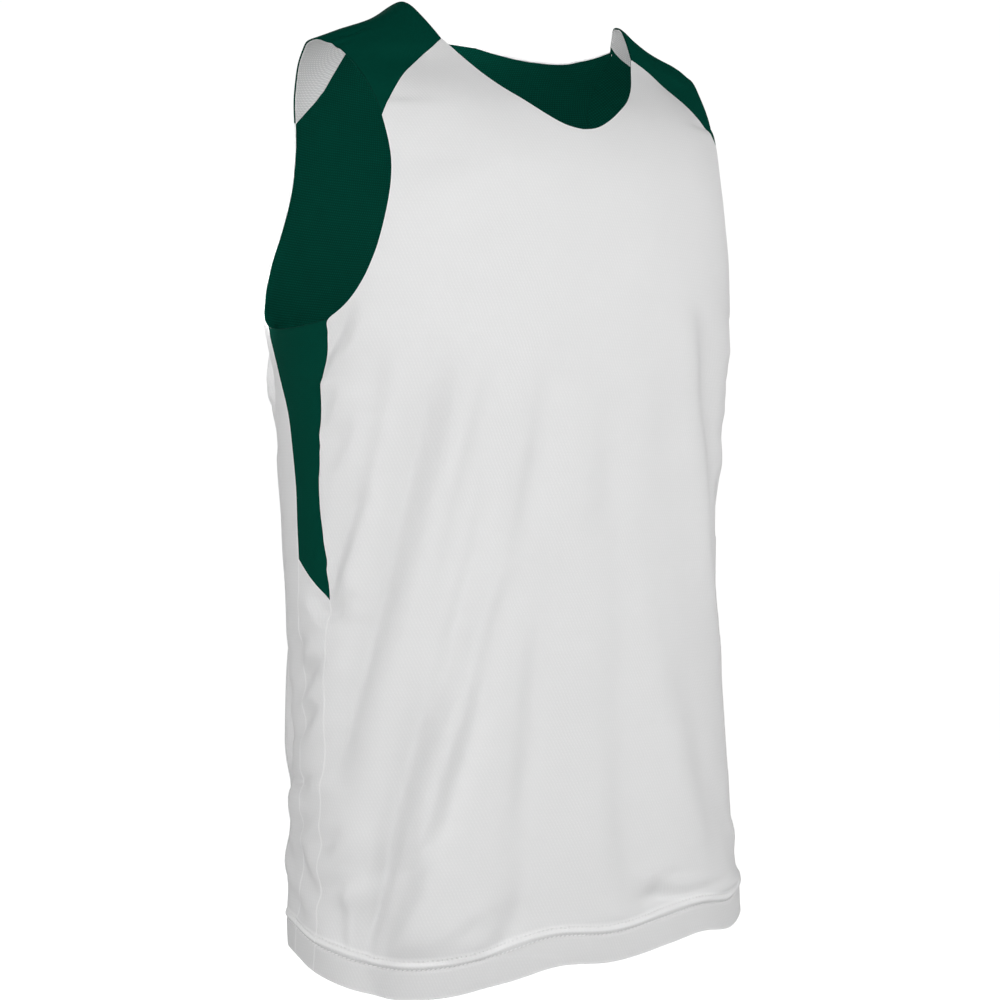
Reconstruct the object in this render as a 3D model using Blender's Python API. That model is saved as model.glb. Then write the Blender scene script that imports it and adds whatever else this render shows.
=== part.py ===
"""Reversible basketball jersey, filled out as worn, with nobody in it.

Two layers of cloth, each sewn from eight pieces: front, back, two yokes over the shoulders, two side
inserts under the arms and two side panels below them. Every piece is a thin wall on one common surface.
That surface is told by an angle round the body and a level up the body:

- the angle is 0 at the centre front, -90 at the wearer's right side, +90 at the left side and 180 at the
  centre back;
- the level is 0 at the hem and RIDGE_LEVEL along the shoulder ridges, and a row of SECTIONS is one level.

Units are metres, +Z is up, +X is the wearer's left and the front looks along -Y. The origin is where the
shoulders carry the jersey, in the middle between the two straps.
"""
import math

import bpy
import numpy as np


def table(names, *rows):
    """A table with named columns: each name with its column of numbers."""
    return dict(zip(names.split(), np.array(rows, dtype=float).T))


# ---------------------------------------------------------------- driving sizes

OUTER_WALL = 0.0012
LINING_WALL = 0.0010
SEAM_GAP = 0.0003
LAYER_GAP = 0.0003
EDGE_SETBACK = 0.0012       # the lining stops this far short of the neck, armhole and hem edges
HEM_BAND_EXTRA = 0.0006     # the turned hem is this much thicker outside
SQUARENESS = 2.25           # 2 is an ellipse, larger is squarer
RIDGE_LEVEL = 12.0
SHOULDER_RISE_LEVEL = 9.0   # above this level the sections tip up into the shoulder line

COLUMNS_NECK = 7            # grid columns along half the neckline
COLUMNS_YOKE = 7            # grid columns along a yoke seam
COLUMNS_SIDE = 4            # grid columns across a side insert or side panel
ROWS_YOKE_FRONT = 6
ROWS_YOKE_TOP = 2           # from the ridge back to the pieced seam
ROWS_YOKE_BACK = 4

METRES_PER_DEGREE = 0.003   # about, near the neck
METRES_PER_LEVEL = 0.045    # about, near the neck
FINE_STEPS = 400            # steps used to measure the length of a line

# Horizontal sections of the body of the jersey, hem first.
SECTIONS = table(
    "level height half_width centre_y front back",
    (0.0, -0.700, 0.189, -0.019, 0.131, 0.094),
    (1.0, -0.600, 0.186, -0.009, 0.123, 0.103),
    (2.0, -0.500, 0.183, -0.002, 0.115, 0.107),
    (3.0, -0.400, 0.184, 0.003, 0.110, 0.111),
    (4.0, -0.320, 0.187, 0.006, 0.112, 0.117),
    (5.0, -0.265, 0.190, 0.010, 0.117, 0.125),
    (6.0, -0.215, 0.194, 0.012, 0.121, 0.133),
    (7.0, -0.160, 0.196, 0.010, 0.121, 0.139),
    (8.0, -0.110, 0.194, 0.007, 0.114, 0.135),
    (9.0, -0.065, 0.190, 0.003, 0.094, 0.114),
    (10.0, -0.030, 0.187, 0.001, 0.057, 0.080),
    (11.0, -0.009, 0.185, 0.000, 0.028, 0.042),
    (11.5, -0.002, 0.1845, 0.000, 0.0145, 0.022),
    (12.0, 0.000, 0.184, 0.000, 0.000, 0.000),
)

# Height of the shoulder line above the top section: the collar side stands up, the arm side slopes down.
SHOULDER_LINE = table(
    "half_width rise",
    (0.000, 0.020),
    (0.085, 0.020),
    (0.098, 0.018),
    (0.108, 0.011),
    (0.120, 0.004),
    (0.150, -0.008),
    (0.175, -0.019),
    (0.210, -0.030),
)

# Drop of the hem below the lowest section, round the body.
HEM_LINE = table(
    "angle drop",
    (-180.0, 0.004),
    (-140.0, 0.001),
    (-112.0, -0.008),
    (-97.0, -0.006),
    (-84.0, 0.002),
    (-70.0, 0.009),
    (-54.0, 0.017),
    (-38.0, 0.016),
    (-25.0, 0.009),
    (-12.0, -0.001),
    (3.0, 0.000),
    (20.0, -0.008),
    (30.0, -0.012),
    (45.0, -0.009),
    (60.0, -0.016),
    (85.0, -0.012),
    (115.0, -0.004),
    (150.0, 0.002),
    (180.0, 0.004),
)
HEM_LINE_FADES_AT = 2.6     # level where the drop has died out

# Edge of the front piece: side seam up to the armhole, then the armhole edge up to the ridge.
FRONT_EDGE = table(
    "level angle",
    (0.00, 82.5),
    (0.35, 80.0),
    (0.92, 78.0),
    (1.41, 76.3),
    (2.00, 74.6),
    (2.65, 72.6),
    (3.26, 73.7),
    (3.80, 73.5),
    (4.33, 72.2),
    (5.04, 70.0),
    (5.54, 67.8),
    (5.74, 66.6),
    (5.86, 62.8),
    (6.02, 58.9),
    (6.26, 55.2),
    (6.55, 52.3),
    (6.84, 50.2),
    (7.40, 47.9),
    (7.94, 47.4),
    (8.62, 49.2),
    (9.20, 51.6),
    (9.77, 54.4),
    (10.54, 58.6),
    (11.29, 63.6),
    (12.00, 66.4),
)

# Edge of the back piece, its angle counted from the centre back.
BACK_EDGE = table(
    "level angle",
    (0.00, 83.5),
    (0.35, 86.0),
    (0.90, 89.0),
    (1.50, 89.6),
    (2.28, 90.2),
    (2.96, 92.2),
    (3.60, 92.6),
    (4.17, 91.0),
    (4.57, 88.9),
    (4.94, 86.0),
    (5.25, 83.2),
    (5.54, 80.3),
    (5.70, 78.5),
    (5.78, 73.5),
    (5.90, 67.5),
    (6.08, 62.8),
    (6.30, 59.5),
    (6.50, 55.5),
    (6.81, 50.4),
    (7.19, 45.9),
    (7.55, 43.2),
    (8.00, 42.0),
    (8.44, 43.3),
    (8.94, 47.0),
    (9.39, 51.6),
    (9.82, 55.0),
    (10.50, 60.2),
    (11.20, 64.2),
    (12.00, 66.4),
)

# Neck edge of a yoke over the shoulder; a course above RIDGE_LEVEL is on the back.
YOKE_NECK_EDGE = table(
    "course angle",
    (8.50, 20.0),
    (9.40, 23.6),
    (10.27, 26.8),
    (11.00, 29.2),
    (11.50, 30.6),
    (12.00, 31.6),
    (12.25, 33.4),
    (12.45, 34.7),
    (12.64, 35.9),
    (13.10, 35.0),
    (13.60, 34.0),
    (14.20, 32.5),
    (15.20, 30.0),
)

# Necklines and yoke seams, from the centre to the armhole.
FRONT_NECKLINE = table(
    "angle level",
    (0.0, 8.55),
    (4.0, 8.60),
    (8.5, 8.77),
    (13.0, 9.01),
    (17.7, 9.30),
    (21.5, 9.62),
    (24.6, 9.98),
    (26.8, 10.27),
)
FRONT_YOKE_SEAM = table(
    "angle level",
    (26.8, 10.27),
    (30.2, 10.05),
    (33.6, 9.90),
    (37.0, 9.72),
    (40.5, 9.50),
    (43.5, 9.25),
    (46.2, 8.99),
    (48.2, 8.75),
    (49.2, 8.62),
)
BACK_NECKLINE = table(
    "angle level",
    (0.0, 10.83),
    (8.0, 10.76),
    (14.2, 10.72),
    (20.1, 10.71),
    (26.1, 10.74),
    (29.5, 10.80),
    (32.7, 10.97),
    (34.4, 11.15),
    (35.9, 11.36),
)
BACK_NECK_SKEW = 0.10       # levels: the back neckline is this much lower on the left, higher on the right
BACK_YOKE_SEAM = table(
    "angle level",
    (35.9, 11.36),
    (37.4, 11.04),
    (37.9, 10.62),
    (38.2, 10.20),
    (38.8, 9.84),
    (40.4, 9.52),
    (43.2, 9.22),
    (47.0, 8.94),
)

# Where the lining's left yoke is pieced behind the shoulder, from the neck edge (lane 0) to the armhole edge
# (lane 1). All yokes have a grid row there.
PIECED_SEAM = table(
    "lane course",
    (0.00, 12.44),
    (0.06, 12.54),
    (0.12, 12.60),
    (0.22, 12.66),
    (0.44, 12.86),
    (0.69, 13.15),
    (1.00, 13.45),
)

# Levels of the grid rows up the two side seams. Row SLANT_ROW is the slanted seam between side insert and
# side panel.
SEAM_ROWS = table(
    "front back",
    (0.00, 0.00),
    (0.18, 0.18),
    (0.28, 0.28),
    (0.33, 0.33),
    (0.85, 0.95),
    (1.45, 1.60),
    (2.05, 2.28),
    (2.65, 2.96),
    (3.30, 3.55),
    (4.00, 4.20),
    (4.65, 4.80),
    (5.25, 5.30),
    (5.74, 5.70),
)
SLANT_ROW = 7
HEM_BAND_ROW = 2            # the thick turned hem ends at this row
FRONT_CHEST_SHARES = (0.045, 0.10, 0.18, 0.28, 0.42, 0.60, 0.80, 1.0)
BACK_CHEST_SHARES = (0.03, 0.065, 0.12, 0.19, 0.27, 0.37, 0.50, 0.64, 0.82, 1.0)
ARMHOLE_DIP = 0.08          # levels by which the armhole's floor dips between the side seams

# Folds: a negative depth is a ridge. They fade in over the first part of their length.
FOLDS = table(
    "top_angle top_height foot_angle foot_height bow width depth foot_depth",
    # wide hollows under the collar bones
    (39.0, -0.020, 45.0, -0.072, 0.0, 8.0, 0.008, 0.004),
    (-39.0, -0.020, -45.0, -0.072, 0.0, 8.0, 0.008, 0.004),
    # long folds that fall from the chest, wearer's right to left
    (-33.0, -0.245, -70.0, -0.585, 3.0, 6.0, 0.005, 0.006),
    (-24.0, -0.270, -58.0, -0.715, 1.0, 5.5, 0.004, 0.009),
    (-11.0, -0.235, -27.0, -0.700, 3.0, 6.0, 0.004, 0.006),
    (2.0, -0.270, 6.0, -0.670, 0.0, 5.5, 0.003, 0.003),
    (14.0, -0.290, 44.0, -0.660, -1.0, 6.0, 0.004, 0.004),
    (35.0, -0.210, 52.0, -0.480, 0.0, 7.0, 0.003, 0.000),
    (62.0, -0.260, 68.0, -0.710, 2.0, 5.0, 0.000, 0.005),
    # drag lines out of the side seams
    (-57.0, -0.232, -68.0, -0.275, 0.0, 4.0, 0.002, 0.002),
    (-60.0, -0.285, -71.0, -0.325, 0.0, 4.0, 0.002, 0.002),
    (-57.0, -0.345, -72.0, -0.412, 0.0, 5.0, 0.003, 0.003),
    (-60.0, -0.425, -70.0, -0.447, 0.0, 4.0, 0.003, 0.002),
    (57.0, -0.240, 68.0, -0.290, 0.0, 4.0, 0.002, 0.002),
    (58.0, -0.330, 71.0, -0.390, 0.0, 5.0, 0.003, 0.003),
    (60.0, -0.455, 71.0, -0.490, 0.0, 4.5, 0.003, 0.002),
    # long folds that fall from the shoulder blades
    (-128.0, -0.250, -112.0, -0.640, 2.0, 6.0, 0.004, 0.005),
    (-146.0, -0.215, -136.0, -0.710, -2.0, 6.5, 0.004, 0.008),
    (-166.0, -0.230, -162.0, -0.700, 2.0, 6.0, 0.004, 0.006),
    (173.0, -0.260, 176.0, -0.710, -2.0, 6.0, 0.003, 0.005),
    (152.0, -0.210, 146.0, -0.705, 2.0, 6.5, 0.005, 0.008),
    (131.0, -0.245, 117.0, -0.660, -1.0, 6.0, 0.004, 0.005),
)
FOLD_FADE_IN = 0.30         # share of a fold's length over which it deepens to its top depth
FOLD_FADE_OUT = 0.12
FOLD_HEM_RUNOUT = -0.690    # folds whose foot is below this height run on through the hem

WHITE = (0.80, 0.80, 0.80, 1.0)
DARK_GREEN = (0.002, 0.046, 0.030, 1.0)
KNIT_ROUGHNESS = 0.62
MESH_ROUGHNESS = 0.72


# ---------------------------------------------------------------- curves through tables

def through(rows, x, result):
    """Value of the column `result` at x, on a smooth curve through a table's rows.

    x runs along the first column. Past both ends the curve runs straight on.
    """
    xs = next(iter(rows.values()))
    ys = rows[result]
    beyond = x - np.clip(x, xs[0], xs[-1])
    x = x - beyond
    steps = np.diff(xs)
    rises = np.diff(ys) / steps
    slopes = np.empty_like(ys)
    slopes[1:-1] = (rises[:-1] * steps[1:] + rises[1:] * steps[:-1]) / (steps[:-1] + steps[1:])
    slopes[0] = 1.5 * rises[0] - 0.5 * slopes[1]
    slopes[-1] = 1.5 * rises[-1] - 0.5 * slopes[-2]
    k = np.clip(np.searchsorted(xs, x, side="right") - 1, 0, len(steps) - 1)
    t = (x - xs[k]) / steps[k]
    ends = ys[k] * (1 + 2 * t) * (1 - t) ** 2 + ys[k + 1] * t * t * (3 - 2 * t)
    curve = ends + steps[k] * t * (1 - t) * (slopes[k] * (1 - t) - slopes[k + 1] * t)
    return curve + beyond * np.where(beyond < 0.0, slopes[0], slopes[-1])


def ease(x):
    """Smooth step from 0 to 1."""
    x = np.clip(x, 0.0, 1.0)
    return x * x * (3 - 2 * x)


def spread(line, count):
    """`count` + 1 points at even steps of chord along a line, as angles and levels."""
    fine = np.linspace(line["angle"][0], line["angle"][-1], FINE_STEPS)
    level = through(line, fine, "level")
    run = np.hypot(np.diff(fine) * METRES_PER_DEGREE, np.diff(level) * METRES_PER_LEVEL)
    along = np.concatenate(([0.0], np.cumsum(run)))
    angle = np.interp(np.linspace(0.0, along[-1], count + 1), along, fine)
    return angle, through(line, angle, "level")


# ---------------------------------------------------------------- the common surface

def body_form(angle, level):
    """Point on the smooth form: a squared oval at each level, tipped up to the shoulder line at the top."""
    height = through(SECTIONS, level, "height")
    half_width = through(SECTIONS, level, "half_width")
    centre = through(SECTIONS, level, "centre_y")
    front = through(SECTIONS, level, "front")
    back = through(SECTIONS, level, "back")
    turn = np.radians(angle)
    side = np.sin(turn)
    ahead = np.cos(turn)
    radius = (np.abs(side) ** SQUARENESS + np.abs(ahead) ** SQUARENESS) ** (-1.0 / SQUARENESS)
    x = half_width * radius * side
    depth = np.where(ahead >= 0.0, -(front + centre), -(back - centre))
    y = centre + depth * radius * ahead
    tip = ease((level - SHOULDER_RISE_LEVEL) / (RIDGE_LEVEL - SHOULDER_RISE_LEVEL))
    fade = ease(1.0 - level / HEM_LINE_FADES_AT)
    rise = tip * through(SHOULDER_LINE, np.abs(x), "rise")
    drop = fade * through(HEM_LINE, wrapped(angle), "drop")
    z = height + rise - drop
    return np.stack([x, y, z], axis=-1)


def wrapped(angle):
    """The same angle between -180 and 180."""
    return (np.asarray(angle, dtype=float) + 180.0) % 360.0 - 180.0


def over(angle, course):
    """Angle and level for a course that may run over the ridge and down the back."""
    behind = course > RIDGE_LEVEL
    turned = np.sign(angle) * (180.0 - np.abs(angle))
    return np.where(behind, turned, angle), np.where(behind, 2 * RIDGE_LEVEL - course, course)


def facing(surface, angle, course):
    """Outward normal of a surface given as a function of angle and course."""
    step = 0.02
    east = surface(angle + step, course) - surface(angle - step, course)
    north = surface(angle, course + step) - surface(angle, course - step)
    normal = np.cross(east, north)
    return normal / np.maximum(np.linalg.norm(normal, axis=-1, keepdims=True), 1e-12)


def form_over(angle, course):
    """The smooth form, with courses that may run over the ridge."""
    return body_form(*over(angle, course))


def fold_depth(angle, height):
    """How far the folds pull the cloth in: each is a soft trough along a slightly bowed line."""
    total = np.zeros(np.broadcast(angle, height).shape)
    for top_angle, top, foot_angle, foot, bow, width, depth, foot_depth in zip(*FOLDS.values()):
        share = (top - height) / (top - foot)
        line = top_angle + (foot_angle - top_angle) * share + bow * 4 * share * (1 - share)
        off = wrapped(angle - line)
        deep = depth + (foot_depth - depth) * np.clip(share, 0.0, 1.0)
        fade = ease(share / FOLD_FADE_IN)
        if foot > FOLD_HEM_RUNOUT:
            fade = fade * ease((1.0 - share) / FOLD_FADE_OUT)
        total = total + deep * fade * np.exp(-(off / width) ** 2)
    return total


def cloth(angle, course):
    """Outside of the cloth: the smooth form, pushed in along its normal by the folds."""
    point = form_over(angle, course)
    real_angle, _ = over(angle, course)
    return point - facing(form_over, angle, course) * fold_depth(real_angle, point[..., 2])[..., None]


# ---------------------------------------------------------------- grids of the pieces (angle and course)

def body_grid(neckline, seam, edge, rows, shares, skew=0.0):
    """Grid of a front or back: columns run from the hem to the neckline and the yoke seams.

    skew lifts the neckline on the side of the larger angles and lowers it on the other side.
    """
    neck_angle, neck_level = spread(neckline, COLUMNS_NECK)
    seam_angle, seam_level = spread(seam, COLUMNS_YOKE)
    top_angle = np.concatenate((neck_angle, seam_angle[1:]))
    top_level = np.concatenate((neck_level, seam_level[1:]))
    lane = top_angle / through(edge, top_level, "angle")
    lane[-1] = 1.0
    lane = np.concatenate((-lane[:0:-1], lane))
    top_level = np.concatenate((top_level[:0:-1], top_level))
    neck = slice(COLUMNS_YOKE, COLUMNS_YOKE + 2 * COLUMNS_NECK + 1)
    top_level[neck] += skew * np.sin(np.linspace(-math.pi, math.pi, 2 * COLUMNS_NECK + 1))
    chest = rows[-1] + np.outer(top_level - rows[-1], shares)
    lower = np.tile(rows, (len(lane), 1))
    level = np.concatenate((lower, chest), axis=1)
    return lane[:, None] * through(edge, level, "angle"), level


def front_grid():
    """Grid of the front."""
    return body_grid(FRONT_NECKLINE, FRONT_YOKE_SEAM, FRONT_EDGE, SEAM_ROWS["front"], FRONT_CHEST_SHARES)


def back_grid():
    """Grid of the back, with its angles turned round to the back."""
    rows, shares = SEAM_ROWS["back"], BACK_CHEST_SHARES
    angle, level = body_grid(BACK_NECKLINE, BACK_YOKE_SEAM, BACK_EDGE, rows, shares, BACK_NECK_SKEW)
    return angle + 180.0, level


def yoke_grid(side):
    """Grid of a yoke, from the neck edge to the armhole edge and from the front seam to the back seam."""
    front_angle, front_level = spread(FRONT_YOKE_SEAM, COLUMNS_YOKE)
    back_angle, back_level = spread(BACK_YOKE_SEAM, COLUMNS_YOKE)
    back_course = 2 * RIDGE_LEVEL - back_level
    front_lane = lane_of(front_angle, front_level)
    back_lane = lane_of(back_angle, back_course)
    rows = ROWS_YOKE_FRONT + ROWS_YOKE_TOP + ROWS_YOKE_BACK
    lane = front_lane[:, None] + np.outer(back_lane - front_lane, np.linspace(0, 1, rows + 1))
    pieced_course = through(PIECED_SEAM, lane[:, ROWS_YOKE_FRONT + ROWS_YOKE_TOP], "course")
    ridge_course = np.full_like(pieced_course, RIDGE_LEVEL)
    parts = (
        np.linspace(front_level, ridge_course, ROWS_YOKE_FRONT + 1, axis=1),
        np.linspace(ridge_course, pieced_course, ROWS_YOKE_TOP + 1, axis=1)[:, 1:],
        np.linspace(pieced_course, back_course, ROWS_YOKE_BACK + 1, axis=1)[:, 1:],
    )
    course = np.concatenate(parts, axis=1)
    neck = through(YOKE_NECK_EDGE, course, "angle")
    return side * (neck + lane * (arm_edge(course) - neck)), course


def arm_edge(course):
    """Angle of the armhole edge of a yoke, on the front and over the ridge on the back."""
    on_back = through(BACK_EDGE, 2 * RIDGE_LEVEL - course, "angle")
    return np.where(course > RIDGE_LEVEL, on_back, through(FRONT_EDGE, course, "angle"))


def lane_of(angle, course):
    """Share of the way from the neck edge to the armhole edge."""
    neck = through(YOKE_NECK_EDGE, course, "angle")
    return (angle - neck) / (arm_edge(course) - neck)


def side_grid(side, first, last):
    """Grid between the side seams, from row `first` to row `last` of the seams."""
    front_level = SEAM_ROWS["front"][first:last + 1]
    back_level = SEAM_ROWS["back"][first:last + 1]
    across = np.linspace(0.0, 1.0, COLUMNS_SIDE + 1)
    level = front_level + np.outer(across, back_level - front_level)
    if last == len(SEAM_ROWS["front"]) - 1:
        level[:, -1] -= ARMHOLE_DIP * 4 * across * (1 - across)
    front_angle = through(FRONT_EDGE, front_level, "angle")
    back_angle = 180.0 - through(BACK_EDGE, back_level, "angle")
    return side * (front_angle + np.outer(across, back_angle - front_angle)), level


# ---------------------------------------------------------------- walls

def pulled_in(points, index, inward, axis, distance):
    """Move one border line of a grid towards the line beside it by a distance."""
    lines = np.moveaxis(points, axis, 0)
    way = lines[inward] - lines[index]
    length = np.maximum(np.linalg.norm(way, axis=-1, keepdims=True), 1e-9)
    lines[index] = lines[index] + way * np.minimum(distance / length, 0.5)


def wall_mesh(name, grid, depth, thickness, setbacks, band_row=None):
    """Closed wall on a grid: outer skin `depth` below the cloth's outside, then inner skin, then the rim.

    setbacks gives, in metres, how far each border stays back: first and last column, first and last row.
    """
    angle, course = grid
    outside = cloth(angle, course)
    normal = facing(cloth, angle, course)
    outer = outside - normal * depth
    inner = outside - normal * (depth + thickness)
    if band_row is not None:
        outer[:, :band_row + 1] += normal[:, :band_row + 1] * HEM_BAND_EXTRA
    for side in (outer, inner):
        pulled_in(side, 0, 1, 0, setbacks[0])
        pulled_in(side, -1, -2, 0, setbacks[1])
        pulled_in(side, 0, 1, 1, setbacks[2])
        pulled_in(side, -1, -2, 1, setbacks[3])
    columns, rows = angle.shape
    index = np.arange(columns * rows).reshape(columns, rows)
    near, far = index[:-1, :-1], index[1:, 1:]
    east_half = np.stack([near, index[1:, :-1], far], axis=-1)
    west_half = np.stack([near, far, index[:-1, 1:]], axis=-1)
    skin = np.concatenate((east_half.reshape(-1, 3), west_half.reshape(-1, 3)))
    ring = np.concatenate((index[:-1, 0], index[-1, :-1], index[:0:-1, -1], index[0, :0:-1]))
    after = np.roll(ring, -1)
    below = columns * rows
    rim = np.concatenate((np.stack([after, ring, ring + below], axis=-1),
                          np.stack([after, ring + below, after + below], axis=-1)))
    faces = np.concatenate((skin, skin[:, ::-1] + below, rim))
    if angle[1, 0] < angle[0, 0]:
        faces = faces[:, ::-1]
    points = np.concatenate((outer.reshape(-1, 3), inner.reshape(-1, 3)))
    mesh = bpy.data.meshes.new(name)
    mesh.from_pydata(points.tolist(), [], faces.tolist())
    mesh.validate()
    mesh.shade_smooth()
    mesh.set_sharp_from_angle(angle=math.radians(45))
    return mesh


def fabric(name, colour, roughness):
    """Plain cloth material."""
    material = bpy.data.materials.new(name)
    material.use_nodes = True
    shader = material.node_tree.nodes["Principled BSDF"]
    shader.inputs["Base Color"].default_value = colour
    shader.inputs["Roughness"].default_value = roughness
    shader.inputs["Metallic"].default_value = 0.0
    material.diffuse_color = colour
    return material


def piece_grids():
    """Every cut piece: its name, its grid, whether it reaches the hem, and which borders are sewn seams.

    The borders are first column, last column, first row and last row.
    """
    top = len(SEAM_ROWS["front"]) - 1
    yield "front", front_grid(), True, (True, True, False, True)
    yield "back", back_grid(), True, (True, True, False, True)
    for word, side in (("right", -1), ("left", 1)):
        yield "yoke_" + word, yoke_grid(side), False, (False, False, True, True)
        yield "side_insert_" + word, side_grid(side, SLANT_ROW, top), False, (True, True, True, False)
        yield "side_panel_" + word, side_grid(side, 0, SLANT_ROW), True, (True, True, False, True)


def lining_grids():
    """The cut pieces of the lining: as in the outer layer, but the left yoke is pieced behind the shoulder."""
    pieced_row = ROWS_YOKE_FRONT + ROWS_YOKE_TOP
    for name, (angle, course), at_hem, sewn in piece_grids():
        if name == "yoke_left":
            yield name, (angle[:, :pieced_row + 1], course[:, :pieced_row + 1]), at_hem, sewn
            yield "back_shoulder_left", (angle[:, pieced_row:], course[:, pieced_row:]), at_hem, sewn
        else:
            yield name, (angle, course), at_hem, sewn


def is_contrast(name):
    """Whether a piece is of the second colour: the yokes and the side inserts."""
    return name.startswith(("yoke", "side_insert"))


def add_piece(name, mesh, colour, roughness):
    """Put one finished piece into the scene, with its own material."""
    piece = bpy.data.objects.new(name, mesh)
    mesh.materials.append(fabric(name + "_cloth", colour, roughness))
    bpy.context.scene.collection.objects.link(piece)


def build_jersey():
    """Make every piece of both layers."""
    half_gap = SEAM_GAP / 2
    for name, grid, at_hem, sewn in piece_grids():
        colour = DARK_GREEN if is_contrast(name) else WHITE
        setbacks = [half_gap if seam else 0.0 for seam in sewn]
        band_row = HEM_BAND_ROW if at_hem else None
        mesh = wall_mesh(name, grid, 0.0, OUTER_WALL, setbacks, band_row)
        add_piece(name, mesh, colour, KNIT_ROUGHNESS)
    for name, grid, _, sewn in lining_grids():
        colour = WHITE if is_contrast(name) else DARK_GREEN
        setbacks = [half_gap if seam else EDGE_SETBACK for seam in sewn]
        mesh = wall_mesh("lining_" + name, grid, OUTER_WALL + LAYER_GAP, LINING_WALL, setbacks)
        add_piece("lining_" + name, mesh, colour, MESH_ROUGHNESS)


def clear_scene():
    """Remove whatever the scene holds."""
    for old in list(bpy.data.objects):
        bpy.data.objects.remove(old, do_unlink=True)


clear_scene()
build_jersey()
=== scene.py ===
"""Reversible basketball jersey, filled out as worn: its cloth, finishes, studio and camera.

Metres, in the part's own frame: +X is the wearer's left, the front looks along -Y and +Z is up. Every cut
piece lies on one common surface, given by an angle round the body (0 at the centre front, positive to the
wearer's left) and a course (0 at the hem, RIDGE_LEVEL on the shoulder ridge, and on past it down the back).
"""

import logging
import math
from dataclasses import dataclass
from enum import Enum
from typing import Callable, Iterator

import bpy
import numpy as np
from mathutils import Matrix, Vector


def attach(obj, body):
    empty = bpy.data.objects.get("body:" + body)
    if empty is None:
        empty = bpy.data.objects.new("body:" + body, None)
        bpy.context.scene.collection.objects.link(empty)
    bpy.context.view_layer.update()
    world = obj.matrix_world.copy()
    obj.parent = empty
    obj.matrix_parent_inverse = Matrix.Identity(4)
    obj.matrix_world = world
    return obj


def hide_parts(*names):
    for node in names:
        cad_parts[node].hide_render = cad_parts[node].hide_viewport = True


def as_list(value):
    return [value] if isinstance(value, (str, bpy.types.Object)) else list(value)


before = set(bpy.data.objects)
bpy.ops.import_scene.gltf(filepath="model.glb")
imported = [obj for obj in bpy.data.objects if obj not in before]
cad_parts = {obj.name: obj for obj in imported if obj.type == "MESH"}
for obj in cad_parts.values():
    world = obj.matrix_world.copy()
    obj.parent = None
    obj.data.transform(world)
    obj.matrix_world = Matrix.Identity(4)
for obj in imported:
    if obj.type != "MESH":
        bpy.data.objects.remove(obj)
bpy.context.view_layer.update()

LOG = logging.getLogger("jersey")
MM = 0.001
RIDGE_LEVEL = 12.0
METRES_PER_LEVEL = 0.045    # on the chest and the shoulders
METRES_PER_DEGREE = 0.003
HEM_PER_LEVEL = 0.1         # the same for levels in the hem
LOWER_LINE = 20.0 * MM      # climbs of the two sewn lines above the hem's edge
UPPER_LINE = 26.5 * MM
STITCH_PITCH = 3.4 * MM
SHARP_ANGLE = math.radians(50)
Array = np.ndarray
Colour = tuple[float, float, float]
Place = tuple[float, float, float]
Surface = Callable[[Array, Array], Array]


class Slot(Enum):
    """Material slots of the part."""

    WHITE_KNIT = "white_knit"
    GREEN_KNIT = "green_knit"
    GREEN_MESH = "green_mesh_knit"
    WHITE_MESH = "white_mesh_knit"


class Skin(Enum):
    """The side of a cloth wall that shows."""

    OUTSIDE = "outside"
    INSIDE = "inside"


class Table:
    """Rows of numbers with named columns, which can be read as smooth curves."""

    def __init__(self, names: str, *rows: tuple[float, ...]) -> None:
        """Keep the rows as columns.

        Args:
            names: the column names, parted by spaces.
            rows: the numbers, one tuple a row.
        """
        self.columns = dict(zip(names.split(), np.array(rows, dtype=float).T))

    def __getitem__(self, name: str) -> Array:
        """One column."""
        return self.columns[name]

    def rows(self) -> Iterator[tuple[float, ...]]:
        """The rows, one after another."""
        return zip(*self.columns.values())

    def at(self, x: Array, name: str) -> Array:
        """Value of a column on a smooth curve: cubic between the rows, straight on past both ends.

        Args:
            x: where to read it, along the first column.
            name: the column to read.

        Returns:
            The values, in the shape of x.
        """
        xs = next(iter(self.columns.values()))
        ys = self.columns[name]
        beyond = x - np.clip(x, xs[0], xs[-1])
        x = x - beyond
        steps = np.diff(xs)
        rises = np.diff(ys) / steps
        slopes = np.empty_like(ys)
        slopes[1:-1] = (rises[:-1] * steps[1:] + rises[1:] * steps[:-1]) / (steps[:-1] + steps[1:])
        slopes[0] = 1.5 * rises[0] - 0.5 * slopes[1]
        slopes[-1] = 1.5 * rises[-1] - 0.5 * slopes[-2]
        k = np.clip(np.searchsorted(xs, x, side="right") - 1, 0, len(steps) - 1)
        t = (x - xs[k]) / steps[k]
        ends = ys[k] * (1 + 2 * t) * (1 - t) ** 2 + ys[k + 1] * t * t * (3 - 2 * t)
        curve = ends + steps[k] * t * (1 - t) * (slopes[k] * (1 - t) - slopes[k + 1] * t)
        return curve + beyond * np.where(beyond < 0.0, slopes[0], slopes[-1])


# Horizontal sections of the body of the jersey, hem first.
SECTIONS = Table(
    "level height half_width centre_y front back",
    (0, -0.7, 0.189, -0.019, 0.131, 0.094), (1, -0.6, 0.186, -0.009, 0.123, 0.103),
    (2, -0.5, 0.183, -0.002, 0.115, 0.107), (3, -0.4, 0.184, 0.003, 0.11, 0.111),
    (4, -0.32, 0.187, 0.006, 0.112, 0.117), (5, -0.265, 0.19, 0.01, 0.117, 0.125),
    (6, -0.215, 0.194, 0.012, 0.121, 0.133), (7, -0.16, 0.196, 0.01, 0.121, 0.139),
    (8, -0.11, 0.194, 0.007, 0.114, 0.135), (9, -0.065, 0.19, 0.003, 0.094, 0.114),
    (10, -0.03, 0.187, 0.001, 0.057, 0.08), (11, -0.009, 0.185, 0, 0.028, 0.042),
    (11.5, -0.002, 0.1845, 0, 0.0145, 0.022), (12, 0, 0.184, 0, 0, 0),
)

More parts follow.
